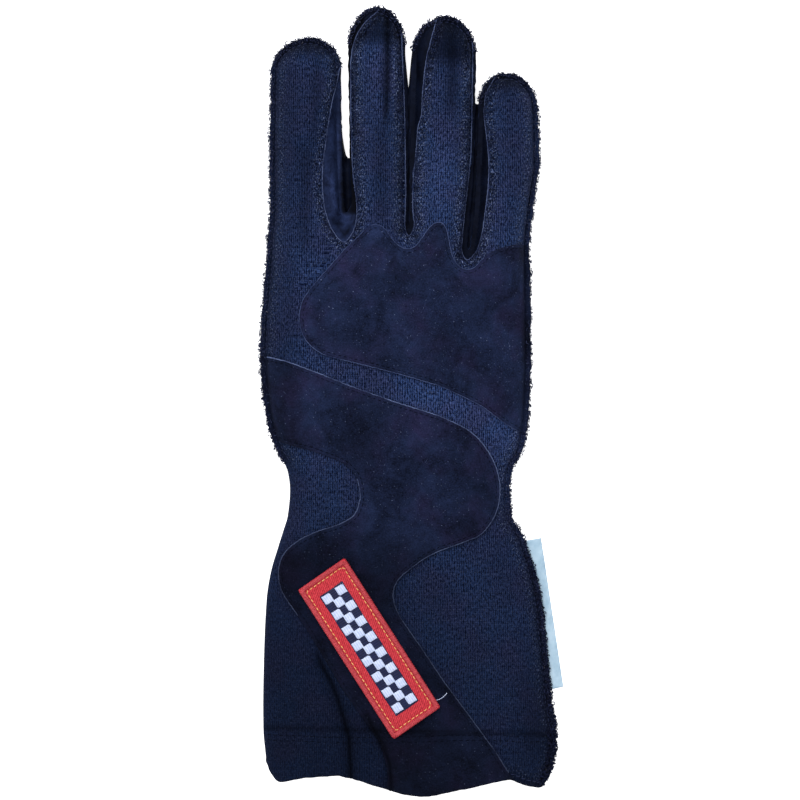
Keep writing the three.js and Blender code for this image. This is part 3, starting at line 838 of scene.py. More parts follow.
class TrimTrees:
    """The Geometry Nodes trees for what repeats on the glove, each made once with named inputs."""

    unscaled: tuple[str, ...] = ("Slant", "Rows", "Density")

    @cache
    def tree(self, trim: Trim) -> Tree:
        """The tree for one trim, built on its first use.

        Args:
            trim: What it makes.

        Returns:
            The tree.
        """
        tree = bpy.data.node_groups.new(trim.name.lower(), "GeometryNodeTree")
        sockets = {"Geometry": "Geometry", "Seed": "Int", "Finish": "Material"}
        for name, kind in {**sockets, **dict.fromkeys(trim.value, "Float")}.items():
            tree.interface.new_socket(name, in_out="INPUT", socket_type="NodeSocket" + kind)
        tree.interface.new_socket("Geometry", in_out="OUTPUT", socket_type="NodeSocketGeometry")
        start = add(tree, "NodeGroupInput").outputs
        real = add(tree, "RealizeInstances", {"Geometry": getattr(self, trim.name.lower())(tree, start)})
        smooth = add(tree, "SetShadeSmooth", {"Geometry": real})
        finish = {"Geometry": smooth, "Material": start["Finish"]}
        add(tree, "NodeGroupOutput", {"Geometry": add(tree, "SetMaterial", finish)})
        return tree

    def chance(self, tree: Any, start: Any, low: Any, high: Any, shift: float) -> Any:
        """A random number or vector for each point, from the tree's seed and a shift of it."""
        seed = add(tree, "ShaderNodeMath", {0: start["Seed"], 1: shift}, operation="ADD")
        kind = "FLOAT_VECTOR" if isinstance(low, tuple) else "FLOAT"
        return add(tree, "FunctionNodeRandomValue", {"Min": low, "Max": high, "Seed": seed}, data_type=kind)

    def scattered(self, tree: Any, start: Any, points: Any) -> Any:
        """Points moved by chance, by up to the tree's wander."""
        way = self.chance(tree, start, (-1, -1, -1), (1, 1, 1), 0)
        step = add(tree, "ShaderNodeVectorMath", {0: way, "Scale": start["Wander"]}, operation="SCALE")
        return add(tree, "SetPosition", {"Geometry": points, "Offset": step})

    def stitches(self, tree: Any, start: Any) -> Any:
        """Plump stitches at an even pitch along each line, turned by a slant from its run.

        Args:
            tree: The tree that they are part of.
            start: The tree's inputs.

        Returns:
            The node that places them.
        """
        run = add(tree, "MeshToCurve", {"Mesh": start["Geometry"]})
        spaced = add(tree, "ResampleCurve", {"Curve": run, "Length": start["Pitch"]}, mode="LENGTH")
        ahead = add(tree, "InputTangent")
        facing = add(tree, "FunctionNodeAlignRotationToVector", {"Vector": ahead}, axis="X")
        slant = add(tree, "ShaderNodeCombineXYZ", {"Z": start["Slant"]})
        turn = add(tree, "FunctionNodeRotateRotation", {0: facing, 1: slant}, rotation_space="LOCAL")
        sizes = {"X": start["Half length"], "Y": start["Thread radius"], "Z": start["Thread radius"]}
        size = add(tree, "ShaderNodeCombineXYZ", sizes)
        plump = add(tree, "MeshUVSphere", {"Segments": 6, "Rings": 5, "Radius": 1.0})
        moved = self.scattered(tree, start, spaced)
        placing = {"Points": moved, "Instance": plump, "Rotation": turn, "Scale": size}
        return add(tree, "InstanceOnPoints", placing)

    def terry(self, tree: Any, start: Any) -> Any:
        """Small bent loops of pile crowded along each line, in several rows that spread about it.

        Args:
            tree: The tree that they are part of.
            start: The tree's inputs.

        Returns:
            The node that places them.
        """
        run = add(tree, "MeshToCurve", {"Mesh": start["Geometry"]})
        spaced = add(tree, "CurveToPoints", {"Curve": run, "Length": start["Pitch"]}, mode="LENGTH")
        many = add(tree, "DuplicateElements", {"Geometry": spaced, "Amount": start["Rows"]}, domain="POINT")
        bend = {"Resolution": 6, "Radius": 1.0, "Sweep Angle": math.radians(230)}
        arc = add(tree, "CurveArc", bend, mode="RADIUS")
        yarn = add(tree, "CurvePrimitiveCircle", {"Resolution": 3, "Radius": 0.34})
        loop = add(tree, "CurveToMesh", {"Curve": arc, "Profile Curve": yarn, "Fill Caps": True})
        moved = self.scattered(tree, start, many)
        spin = self.chance(tree, start, (-3.1, -3.1, -3.1), (3.1, 3.1, 3.1), 11)
        share = self.chance(tree, start, 0.55, 1.25, 23)
        size = add(tree, "ShaderNodeMath", {0: share, 1: start["Loop radius"]}, operation="MULTIPLY")
        placing = {"Points": moved, "Instance": loop, "Rotation": spin, "Scale": size}
        return add(tree, "InstanceOnPoints", placing)

    def cord(self, tree: Any, start: Any) -> Any:
        """A thin roll of cut fibres along each line, a little uneven."""
        moved = self.scattered(tree, start, add(tree, "MeshToCurve", {"Mesh": start["Geometry"]}))
        ring = add(tree, "CurvePrimitiveCircle", {"Resolution": 6, "Radius": start["Radius"]})
        return add(tree, "CurveToMesh", {"Curve": moved, "Profile Curve": ring, "Fill Caps": True})

    def lint(self, tree: Any, start: Any) -> Any:
        """Short bent fibres strewn over a surface.

        Args:
            tree: The tree that they are part of.
            start: The tree's inputs.

        Returns:
            The node that places them.
        """
        strewing = {"Mesh": start["Geometry"], "Density": start["Density"], "Seed": start["Seed"]}
        strewn = add(tree, "DistributePointsOnFaces", strewing)
        bend = {"Resolution": 4, "Start": (-0.5, 0, 0.1), "Middle": (0, 0.35, 0.3), "End": (0.5, 0, 0.1)}
        bent = add(tree, "CurveQuadraticBezier", bend)
        long = add(tree, "Transform", {"Geometry": bent, "Scale": start["Fibre length"]})
        ring = add(tree, "CurvePrimitiveCircle", {"Resolution": 3, "Radius": start["Fibre radius"]})
        fibre = add(tree, "CurveToMesh", {"Curve": long, "Profile Curve": ring, "Fill Caps": True})
        spin = self.chance(tree, start, (-0.3, -0.3, -3.1), (0.3, 0.3, 3.1), 5)
        size = self.chance(tree, start, 0.35, 1.1, 9)
        placing = {"Points": strewn, "Instance": fibre, "Rotation": spin, "Scale": size}
        return add(tree, "InstanceOnPoints", placing)

    def squares(self, tree: Any, start: Any) -> Any:
        """Cushioned squares, one at each point, turned to its 'up' and 'ahead' directions.

        Args:
            tree: The tree that they are part of.
            start: The tree's inputs.

        Returns:
            The node that places them.
        """
        grid = add(tree, "MeshGrid", {"Size X": 1.0, "Size Y": 1.0, "Vertices X": 7, "Vertices Y": 7})
        parts = add(tree, "ShaderNodeSeparateXYZ", {0: add(tree, "InputPosition")})
        falls = []
        for axis in ("X", "Y"):
            double = add(tree, "ShaderNodeMath", {0: parts.outputs[axis], 1: 2.0}, operation="MULTIPLY")
            away = add(tree, "ShaderNodeMath", {0: double}, operation="ABSOLUTE")
            falls.append(add(tree, "ShaderNodeMath", {0: away, 1: 6.0}, operation="POWER"))
        either = add(tree, "ShaderNodeMath", {0: falls[0], 1: falls[1]}, operation="MAXIMUM")
        crown = add(tree, "ShaderNodeMath", {0: 1.0, 1: either}, operation="SUBTRACT")
        rise = add(tree, "ShaderNodeCombineXYZ", {"Z": crown})
        pillow = add(tree, "SetPosition", {"Geometry": grid, "Offset": rise})
        up, ahead = (
            add(tree, "InputNamedAttribute", {"Name": name}, data_type="FLOAT_VECTOR")
            for name in ("up", "ahead")
        )
        ways = {0: up, 1: ahead}
        facing = add(tree, "FunctionNodeAxesToRotation", ways, primary_axis="Z", secondary_axis="X")
        sizes = {"X": start["Size"], "Y": start["Size"], "Z": start["Height"]}
        size = add(tree, "ShaderNodeCombineXYZ", sizes)
        spots = add(tree, "MeshToPoints", {"Mesh": start["Geometry"]})
        placing = {"Points": spots, "Instance": pillow, "Rotation": facing, "Scale": size}
        return add(tree, "InstanceOnPoints", placing)

    def make(self, trim: Trim, carrier: Thing, finish: Finish, sizes: Sizes, seed: int = 1) -> Thing:
        """Runs a tree on a carrier and keeps the result as the carrier's own plain mesh.

        Args:
            trim: Which tree.
            carrier: The object whose lines or faces it follows.
            finish: The finish of what it makes.
            sizes: The trim's sizes.
            seed: The seed for anything random.

        Returns:
            The carrier.
        """
        grown = carrier.modifiers.new(trim.name.lower(), "NODES")
        grown.node_group = tree = self.tree(trim)
        values = {"Seed": seed, "Finish": finish.material()}
        for key, size in zip(trim.value, sizes):
            values[key] = float(size if key in self.unscaled else size * MM)
        for socket in tree.interface.items_tree:
            if socket.in_out == "INPUT" and socket.name in values:
                grown[socket.identifier] = values[socket.name]
        bpy.context.view_layer.update()
        ready = carrier.evaluated_get(bpy.context.evaluated_depsgraph_get())
        mesh = bpy.data.meshes.new_from_object(ready)
        carrier.modifiers.remove(grown)
        carrier.data = mesh
        return carrier


# Finishes


def mottle(tree: Tree, places: Any, per_mm: float, low: float, high: float, **more: Any) -> Any:
    """Uneven spots from 0 to 1.

    Args:
        tree: The material's tree.
        places: Where on the cloth, in millimetres.
        per_mm: How many spots there are to the millimetre.
        low: The value of the noise that becomes 0.
        high: The value of the noise that becomes 1.
        more: Other inputs of the noise.

    Returns:
        The node that gives the spots.
    """
    values = {"Vector": places, "Scale": per_mm, "Detail": 3.0, "Roughness": 0.6, **more}
    return add(tree, "MapRange", {0: add(tree, "TexNoise", values), 1: low, 2: high})


def layered(tree: Tree, base: Any, *layers: tuple[Any, Any]) -> Any:
    """A base value with patterns laid over it, each by its weight, which may be a pattern too."""
    for pattern, weight in layers:
        base = add(tree, "Math", {0: pattern, 1: weight, 2: base}, operation="MULTIPLY_ADD")
    return base


def ridges(tree: Tree, place: Any, pitch_mm: float, shift: Any = 0.0) -> Any:
    """Rounded ridges from 0 to 1 at a pitch along one place value, pushed aside by a shift."""
    turns = add(tree, "Math", {0: place, 1: 2 * math.pi / pitch_mm, 2: shift}, operation="MULTIPLY_ADD")
    return layered(tree, 0.5, (add(tree, "Math", {0: turns}, operation="SINE"), 0.5))


def with_painted_shade(tree: Tree, colour: Any, pressed: Any = 1.0) -> Any:
    """A colour times the tone and painted shade that the cloth carries, and times how light its pits are
    painted.
    """
    tone = add(tree, "Attribute", attribute_name="tone").outputs["Fac"]
    shaded = {0: colour, "Scale": layered(tree, 0, (tone, pressed))}
    return add(tree, "VectorMath", shaded, operation="SCALE")


@dataclass(frozen=True)
class Finish:
    """A finish of the glove: its name, what is the same all over it, and how its material is made."""

    name: str
    relief_mm: float = 0.1
    rough: float = 0.95
    specular: float = 0.1
    sheen: float = 0.0
    glow: float = 0.0
    on_cloth: bool = True
    sheen_tint: int = 0x8090C0

    def look(self, tree: Tree, flat: Any) -> Look:
        """The finish's own look.

        Args:
            tree: The material's tree.
            flat: Places on the surface in millimetres.

        Returns:
            The nodes or values of its colour, relief and roughness.
        """
        raise NotImplementedError

    @cache
    def material(self) -> bpy.types.Material:
        """Makes the material on its first use.

        Returns:
            A material whose patterns follow the piece's flat cloth, or the glove where it has none.
        """
        material = bpy.data.materials.new(self.name)
        material.use_nodes = True
        tree = material.node_tree
        tree.nodes.clear()
        if self.on_cloth:
            places = add(tree, "UVMap", uv_map="cloth")
        else:
            places = add(tree, "TexCoord").outputs["Object"]
        flat = add(tree, "VectorMath", {0: places, "Scale": 1000.0}, operation="SCALE")
        colour, relief, rough = self.look(tree, flat)
        height = {"Height": relief, "Distance": self.relief_mm * MM, "Strength": 1.0}
        values = {
            "Base Color": colour,
            "Roughness": rough,
            "Specular IOR Level": self.specular,
            "Sheen Weight": self.sheen,
            "Sheen Roughness": 0.6,
            "Sheen Tint": self.sheen_tint,
            "Emission Strength": self.glow,
            "Normal": add(tree, "Bump", height),
        }
        add(tree, "OutputMaterial", {0: add(tree, "BsdfPrincipled", values)})
        return material


@dataclass(frozen=True)
class JerseyKnit(Finish):
    """Brushed aramid and cotton jersey, knitted in fine wales: matt, heathered, with a faint fuzz.

    Its wales are 0.85 mm apart, drawn at 1 mm so that they show in the render. The dye takes unevenly,
    so that some of the yarn looks blue and some plum.
    """

    name: str = "navy_jersey_knit"
    relief_mm: float = 0.34
    specular: float = 0.03
    sheen: float = 0.03
    ground: int = 0x02071C
    yarn: int = 0x2E416C
    plum_yarn: int = 0x333C63
    fleck: int = 0x7886AA
    wale_mm: float = 1.0
    course_mm: float = 0.9

    def look(self, tree: Tree, flat: Any) -> Look:
        """Knitted loops in wales and courses, loose fibres and flecks, and painted glints and pit shade by
        the seams.
        """
        parts = add(tree, "SeparateXYZ", {0: flat})
        wander = mottle(tree, flat, 0.11, 0.0, 1.0)
        wales = ridges(tree, parts.outputs[0], self.wale_mm, layered(tree, 0, (wander, 9.0)))
        courses = ridges(tree, parts.outputs[1], self.course_mm, layered(tree, 0, (wales, 2.2)))
        stretched = add(tree, "VectorMath", {0: flat, 1: (1.0, 0.6, 1.0)}, operation="MULTIPLY")
        fibres = mottle(tree, stretched, 1.25, 0.38, 0.66)
        patches = mottle(tree, flat, 0.2, 0.3, 0.7)
        loops = layered(tree, 0, (wales, layered(tree, 0.5, (courses, 0.5))))
        light = layered(tree, -0.72, (loops, 0.58), (fibres, 0.78), (patches, 0.18))
        tone = add(tree, "Attribute", attribute_name="tone").outputs["Fac"]
        bold = add(tree, "MapRange", {0: tone, 1: 0.3, 2: 1.1, 3: 0.45, 4: 1.0})
        light = layered(tree, 0.4, (light, bold))
        hues = {0: mottle(tree, flat, 0.05, 0.42, 0.62), 6: self.yarn, 7: self.plum_yarn}
        yarn = add(tree, "Mix", hues, data_type="RGBA")
        colour = add(tree, "Mix", {0: light, 6: self.ground, 7: yarn}, data_type="RGBA")
        # Pale flecks all over, with painted glints and painted shade in pits where the cloth puckers beside
        # the seams.
        pucker = add(tree, "Attribute", attribute_name="pucker").outputs["Fac"]
        shown = layered(tree, 0.14, (pucker, 0.8))
        flecks_and_glints = layered(tree, 0, (mottle(tree, stretched, 1.9, 0.55, 0.66), shown))
        colour = add(tree, "Mix", {0: flecks_and_glints, 6: colour, 7: self.fleck}, data_type="RGBA")
        pit_shade = layered(tree, 0, (mottle(tree, flat, 0.9, 0.54, 0.4), pucker))
        relief = layered(tree, 0, (fibres, 0.5), (loops, 0.5))
        return with_painted_shade(tree, colour, layered(tree, 1.0, (pit_shade, -0.8))), relief, self.rough


@dataclass(frozen=True)
class SplitSuede(Finish):
    """Cow split leather, dyed through and buffed to a short nap: dead matt, cloudy, and it holds lint."""

    name: str = "navy_split_suede"
    relief_mm: float = 0.2
    specular: float = 0.05
    sheen: float = 0.03
    low: int = 0x050815
    high: int = 0x1F2947
    plum: int = 0x242442
    lint: int = 0x7482A6

    def look(self, tree: Tree, flat: Any) -> Look:
        """A cloudy nap, rubbed lighter in places, with grains of lint held in it."""
        clouds = mottle(tree, flat, 0.055, 0.32, 0.68, Distortion=0.8)
        rubbed = mottle(tree, flat, 0.32, 0.32, 0.7)
        nap = mottle(tree, flat, 1.4, 0.28, 0.72, Detail=4.0)
        light = layered(tree, -0.22, (clouds, 0.56), (rubbed, 0.28), (nap, 0.64))
        hues = {0: mottle(tree, flat, 0.045, 0.45, 0.65), 6: self.high, 7: self.plum}
        dyed = add(tree, "Mix", hues, data_type="RGBA")
        colour = add(tree, "Mix", {0: light, 6: self.low, 7: dyed}, data_type="RGBA")
        grains = mottle(tree, flat, 1.15, 0.68, 0.78, Detail=1.5)
        dusty = {0: layered(tree, 0, (grains, 0.5)), 6: colour, 7: self.lint}
        colour = add(tree, "Mix", dusty, data_type="RGBA")
        return with_painted_shade(tree, colour), layered(tree, 0, (rubbed, 0.4), (nap, 0.6)), self.rough


@dataclass(frozen=True)
class SmoothLeather(Finish):
    """Chrome-tanned goat leather, dyed navy and tumbled: fine pebble grain and a low soft gloss."""

    name: str = "navy_goat_leather"
    relief_mm: float = 0.14
    specular: float = 0.04
    low: int = 0x0E1428
    high: int = 0x2E3C64
    grain_mm: float = 0.9

    def look(self, tree: Tree, flat: Any) -> Look:
        """Pebble grain with tumbled creases, and smoother where it is worn."""
        grain = {"Vector": flat, "Scale": 1 / self.grain_mm, "Randomness": 0.9}
        pebbles = add(tree, "TexVoronoi", grain, feature="SMOOTH_F1")
        creases = mottle(tree, flat, 0.2, 0.42, 0.6, Detail=5.0, Distortion=1.2)
        worn = mottle(tree, flat, 0.06, 0.32, 0.68)
        light = layered(tree, 0.14, (worn, 0.5), (pebbles, -0.35), (creases, 0.25))
        colour = with_painted_shade(tree, add(tree, "Mix", {0: light, 6: self.low, 7: self.high}, data_type="RGBA"))
        relief = layered(tree, 0.5, (pebbles, -0.5), (creases, 0.5))
        return colour, relief, layered(tree, 0.72, (worn, -0.14))


@dataclass(frozen=True)
class TwistedThread(Finish):
    """Spun sewing or embroidery thread, plied and lightly waxed: fine slanting plies and a soft shine.

    A ply shows every 0.3 mm, drawn at 0.5 mm or more so that it shows in the render.
    """

    relief_mm: float = 0.06
    rough: float = 0.5
    specular: float = 0.2
    on_cloth: bool = False
    dark: int = 0x0A0F22
    light: int = 0x26315A
    ply_mm: float = 0.5
    slant: tuple[float, float, float] = (1.0, 1.0, 0.0)

    def look(self, tree: Tree, flat: Any) -> Look:
        """Plies across the slant, patchy where the thread lies thinner."""
        along = add(tree, "VectorMath", {0: flat, 1: self.slant}, operation="DOT_PRODUCT")
        plies = ridges(tree, along, self.ply_mm)
        light = layered(tree, 0.05, (plies, 0.45), (mottle(tree, flat, 0.8, 0.3, 0.7), 0.45))
        return add(tree, "Mix", {0: light, 6: self.dark, 7: self.light}, data_type="RGBA"), plies, self.rough


@dataclass(frozen=True)
class LoopPile(Finish):
    """The raw cut edge of a knit with a loop pile: tight dark loops, some of them bleached and dusty."""

    name: str = "navy_terry_pile"
    specular: float = 0.05
    sheen: float = 0.02
    on_cloth: bool = False
    deep: int = 0x0B0D18
    loop: int = 0x3C4366
    dusty: int = 0x8A8894

    def look(self, tree: Tree, flat: Any) -> Look:
        """Loops from deep to light, and dust that clings in patches."""
        loops = mottle(tree, flat, 1.0, 0.34, 0.68)
        colour = add(tree, "Mix", {0: loops, 6: self.deep, 7: self.loop}, data_type="RGBA")
        dust = layered(tree, 0, (mottle(tree, flat, 0.7, 0.62, 0.74), 0.6))
        return add(tree, "Mix", {0: dust, 6: colour, 7: self.dusty}, data_type="RGBA"), loops, self.rough


@dataclass(frozen=True)
class CutFibres(Finish):
    """The cut edge of a bonded panel, where bare fibres show paler than the dyed face.

    The fibres are painted dimmer towards the hem: painted shade.
    """

    name: str = "pale_cut_fibres"
    relief_mm: float = 0.08
    sheen: float = 0.03
    on_cloth: bool = False
    dyed: int = 0x182040
    bare: int = 0x5D6B92
    # Painted shade: from here down to the hem the edge is painted dimmer.
    dim_from_y: float = -10.0
    dim_to_y: float = -80.0
    dimmest: float = 0.34

    def look(self, tree: Tree, flat: Any) -> Look:
        """Bare fibres that come and go along the edge."""
        fine = mottle(tree, flat, 1.3, 0.3, 0.7)
        share = layered(tree, -0.1, (fine, 0.5), (mottle(tree, flat, 0.12, 0.36, 0.6), 0.64))
        colour = add(tree, "Mix", {0: share, 6: self.dyed, 7: self.bare}, data_type="RGBA")
        place = add(tree, "SeparateXYZ", {0: flat}).outputs[1]
        fall = {0: place, 1: self.dim_to_y, 2: self.dim_from_y, 3: self.dimmest, 4: 1.0}
        shaded = {0: colour, "Scale": add(tree, "MapRange", fall)}
        return add(tree, "VectorMath", shaded, operation="SCALE"), fine, self.rough


@dataclass(frozen=True)
class EmbroideredTwill(Finish):
    """Polyester satin stitch laid slantwise over twill: bright thread in fine diagonal ridges.

    Its threads are 0.4 mm apart, drawn at 0.85 mm so that they show in the render.
    """

    name: str = "red_embroidered_twill"
    relief_mm: float = 0.2
    rough: float = 0.55
    specular: float = 0.2
    shade: int = 0x8C0E1C
    thread: int = 0xE2424E
    thread_mm: float = 0.85

    def look(self, tree: Tree, flat: Any) -> Look:
        """Slanting rows of thread that drift a little, as laid by the machine."""
        along = add(tree, "VectorMath", {0: flat, 1: (0.8, 0.6, 0.0)}, operation="DOT_PRODUCT")
        drift = layered(tree, 0, (mottle(tree, flat, 0.5, 0.0, 1.0), 4.0))
        threads = ridges(tree, along, self.thread_mm, drift)
        light = layered(tree, -0.05, (threads, 0.5), (mottle(tree, flat, 1.1, 0.32, 0.68), 0.64))
        dye = {0: light, 6: self.shade, 7: self.thread}
        return add(tree, "Mix", dye, data_type="RGBA"), threads, self.rough


@dataclass(frozen=True)
class WovenSatin(Finish):
    """White polyester satin ribbon, heat-cut: a close plain weave with a cool soft gloss.

    Its picks are 0.2 mm apart, drawn at 0.5 mm so that they show in the render.
    """

    name: str = "white_satin_ribbon"
    relief_mm: float = 0.05
    rough: float = 0.42
    specular: float = 0.4
    shade: int = 0x86A9C2
    face: int = 0xBAD2E3
    pick_mm: float = 0.5

    def look(self, tree: Tree, flat: Any) -> Look:
        """Weft over warp, with marks of handling."""
        parts = add(tree, "SeparateXYZ", {0: flat})
        weft = ridges(tree, parts.outputs[1], self.pick_mm)
        warp = ridges(tree, parts.outputs[0], self.pick_mm * 0.7)
        weave = layered(tree, 0, (weft, warp))
        light = layered(tree, 0, (weave, 0.3), (mottle(tree, flat, 0.14, 0.25, 0.6), 0.75))
        return add(tree, "Mix", {0: light, 6: self.shade, 7: self.face}, data_type="RGBA"), weave, self.rough


@dataclass(frozen=True)
class StudioPaper(Finish):
    """A sheet of matt white studio paper with a faint tooth, lit from behind so that it stays white."""

    name: str = "white_studio_paper"
    relief_mm: float = 0.02
    rough: float = 0.9
    glow: float = 0.85
    on_cloth: bool = False
    face: int = 0xF8F8F9
    tooth: int = 0xF1F1F3

    def look(self, tree: Tree, flat: Any) -> Look:
        """The paper's tooth."""
        tooth = mottle(tree, flat, 0.5, 0.2, 0.8)
        return add(tree, "Mix", {0: tooth, 6: self.tooth, 7: self.face}, data_type="RGBA"), tooth, self.rough


KNIT = JerseyKnit()
SUEDE = SplitSuede()
LEATHER = SmoothLeather()
TERRY = LoopPile()
SEAM_PILE = LoopPile("navy_seam_pile", deep=0x080C1C, loop=0x26325A, dusty=0x7C8CB6)
# A darker copy of the terry for the gauntlet's open side: painted shade of the dim cuff.
SHADED_SIDE_PILE = LoopPile("shaded_side_pile", deep=0x04050B, loop=0x1E2440, dusty=0x565662)
CUT_EDGE = CutFibres()
SOFT_CUT_EDGE = CutFibres("soft_cut_fibres", bare=0x46537A)
TWILL = EmbroideredTwill()
SATIN = WovenSatin()
SEAM_THREAD = TwistedThread("navy_seam_thread")
HEM_THREAD = TwistedThread("dark_hem_thread", rough=0.9, specular=0.03, dark=0x04060E, light=0x090D1C)
BORDER_THREAD = TwistedThread("red_border_thread", dark=0x96222F, light=0xDE5C64)
GOLD_THREAD = TwistedThread("gold_stitching_thread", dark=0xF0A050, light=0xFFDE98)
PALE_THREAD = TwistedThread(
    "pale_satin_thread", dark=0xA2B2DC, light=0xDCE5FA, ply_mm=1.0, slant=(0.84, 0.54, 0.0)
)
NAVY_THREAD = TwistedThread(
    "navy_satin_thread", dark=0x080D26, light=0x19224E, ply_mm=1.0, slant=(0.54, -0.84, 0.0)
)


# The cloth surfaces


# Painted shade along the glove, darkest on the cuff: how light the cloth is painted on the knit's left, on
# its right, and on the suede.
PAINTED_FALLOFF = SizeTable((
    (-165, 0.32, 0.44, 0.38), (-140, 0.34, 0.5, 0.4), (-118, 0.4, 0.6, 0.42), (-95, 0.42, 0.66, 0.44),
    (-75, 0.52, 0.72, 0.54), (-50, 0.78, 0.86, 0.9), (-30, 0.9, 1.1, 1.04), (-8, 1.15, 1.55, 1.02),
    (6, 1.15, 1.6, 1.02), (25, 1.06, 1.2, 1.06), (70, 1.06, 1.1, 1.08), (105, 1, 1, 1), (160, 1, 0.9, 1),
))

# Broad painted light and painted shade on the back: where each patch is, how far it reaches and how much it
# adds.
PAINTED_LIGHT_AND_SHADE = {
    Panel.KNIT: (
        (12, 92, 10, 22, 0.36), (-16, 132, 9, 30, 0.18), (-44, 110, 12, 34, -0.14), (42, 100, 9, 34, -0.12),
        (52, -134, 9, 20, -0.16),
    ),
    Panel.OVERLAY: (
        (-38, -66, 26, 18, -0.3), (42, 45, 11, 17, -0.32), (-22, -18, 9, 11, -0.26), (28, -33, 5, 13, -0.2),
    ),
}


@dataclass
class Spots:
    """Places in plan, how far each lies from the outline and the finger seams, and how both pucker it."""

    x: Array
    y: Array
    edge: Array
    strip: Array
    by_edge: Array
    by_strip: Array


@dataclass
class ClothSurface:
    """Heights of every panel over the plan, from the glove's shape and its seams."""

    shape: GloveShape
    lines: SeamLines
    outline: Array = field(init=False)
    strips: list[Array] = field(init=False)
    overlays: dict[str, Array] = field(init=False)
    ridge_height: float = 1.0
    ridge_place: float = 1.4
    overlay_lift: float = 1.1
    strip_drop: float = 0.9
    hem_groove: float = 0.8
    stitch_pull: float = 0.45
    lowest: float = 0.1
    # How far inside the seams the cloth puckers and is stitched, and over what width.
    edge_pucker: tuple[float, float] = (4.2, 1.9)
    strip_pucker: tuple[float, float] = (1.7, 1.5)
    stitch_row: tuple[float, float] = (2.3, 0.6)
    finger_roots: float = 50
    # How much painted shade darkens the cloth in the hem's groove, at the tips, on the index side and on the
    # rim.
    groove_shade: float = 0.45
    tip_shade: float = 0.66
    side_shade: float = 0.3
    rim_shade: float = 0.42

    def __post_init__(self) -> None:
        """Draws the outline and the seams once, as smooth lines."""
        self.outline = self.shape.outline()
        self.strips = [rounded(np.array(path, float), 0.9, 5) for _, path in self.lines.side_strips]
        self.overlays = {
            name: rounded(np.array(getattr(self.lines, name), float), 1.0, 4, closed=True)
            for name in ("knuckle_suede", "wrist_suede")
        }

    def to_edge(self, places: Array) -> Array:
        """How far places lie from the glove's outline."""
        return distance_to(self.outline, places, True)

    def to_strips(self, places: Array) -> Array:
        """How far places lie from the nearest seam between the fingers."""
        shown = [line[line[:, 1] < 172] for line in self.strips]
        return np.min([distance_to(line, places) for line in shown], axis=0)

    def to_hem(self, places: Array) -> Array:
        """How far places lie from the hem."""
        return distance_to(np.array(self.shape.hem), places)

    def heights(self, side: Side, panel: Panel, places: Array) -> Sheet:
        """The outer face of a panel.

        Args:
            side: The face of the glove.
            panel: The kind of cloth.
            places: Places in plan.

        Returns:
            The face's points, no triangles, flat cloth places, and the values that the finishes read.
        """
        shape = self.shape
        x, y = places[:, 0], places[:, 1]
        edge, strip = self.to_edge(places), self.to_strips(places)
        sewn = shape.sewn(x, y)
        by_edge = bump(edge, *self.edge_pucker) * sewn
        by_strip = bump(strip, *self.strip_pucker) * (y > self.finger_roots)
        spots = Spots(x, y, edge, strip, by_edge, by_strip)
        stitched = self.stitch_pull * bump(edge, *self.stitch_row)
        fin = shape.flange_half * (1 - stitched) + 0.25 * uneven(x, y, 2.1, 3)
        fin = np.clip(fin, 0.2, None) * sewn
        lift, over = shape.lift(side, x, y)
        if side is Side.BACK:
            relief = self.back_relief(panel, spots)
            fin *= 0.2 if panel is Panel.SIDE_STRIP else 1
            fin += 0.55 * sewn if panel is Panel.OVERLAY else 0
        else:
            relief = self.sole_relief(x, y)
        body = lift + relief * np.minimum(1, lift / 3)
        proud = np.maximum(fin, body)
        if side is Side.BACK:
            proud = np.where(sewn > 0.55, soft_max(fin, body, 1.0), proud)
        hem = self.to_hem(places)
        proud -= 0.5 * (1 - ease(0.0, 1.1, hem)) * np.minimum(1, lift / 3)
        z = shape.seam(y) + side.value * proud
        at_fold = (edge < 0.04) & (x < 0) & (y < shape.fold_start - 3.9) & (hem > 1)
        z = np.maximum(np.where(at_fold, shape.seam(y), z), self.lowest)
        values = {
            "pucker": np.clip(1.3 * by_strip + 0.6 * by_edge, 0, 1),
            "tone": self.tone(side, panel, spots),
        }
        return np.stack([x, y, z], 1), np.zeros((0, 3), int), np.stack([over, y], 1), values

    def back_relief(self, panel: Panel, spots: Spots) -> Array:
        """How the cloth on the back stands off the plain form.

        Args:
            panel: The kind of cloth.
            spots: Where on it.

        Returns:
            Heights to add.
        """
        x, y, strip, by_edge, by_strip = spots.x, spots.y, spots.strip, spots.by_edge, spots.by_strip
        if panel is Panel.PATCH_BED:
            return self.overlay_lift + 0.06 * uneven(x, y, 17, 1)
        relief = 0.3 * uneven(x, y, 17, 1) + 0.08 * uneven(x, y, 4.2, 2)
        for crease in (*self.shape.cuff_creases, *self.shape.dents):
            relief -= crease.depth_at(x, y)
        groove = self.shape.above_hem_groove(x, y)
        relief += 0.6 * ease(0, -3, groove) - self.hem_groove * bump(groove, 0, 0.9)
        bobbles = uneven(x, y, 1.5, 7) + 0.6 * uneven(x, y, 2.8, 8)
        if panel is Panel.SIDE_STRIP:
            for fold in self.shape.gap_folds:
                relief -= fold.depth_at(x, y)
            return relief - self.strip_drop - 0.35 * ease(0, 3, strip) + 0.2 * uneven(x, y, 7, 9)
        if panel is Panel.OVERLAY:
            return relief + self.overlay_lift + 0.12 * bobbles * by_edge
        ridge = bump(strip, self.ridge_place, 1) * (y > self.finger_roots)
        return relief + self.ridge_height * ridge + bobbles * (0.7 * by_strip + 0.34 * by_edge)

    def sole_relief(self, x: Array, y: Array) -> Array:
        """How the wrinkles of the side that it lies on press in, less on the gauntlet."""
        wrinkles = 0.22 * np.abs(uneven(x * 0.6, y * 1.6, 6.0, 12))
        waves = 0.24 * np.abs(uneven(x, y, 17, 1)) + 0.05 * np.abs(uneven(x, y, 4.2, 2))
        return -(wrinkles + waves) * np.where(y < self.shape.fold_start - 20, 0.5, 1.0)

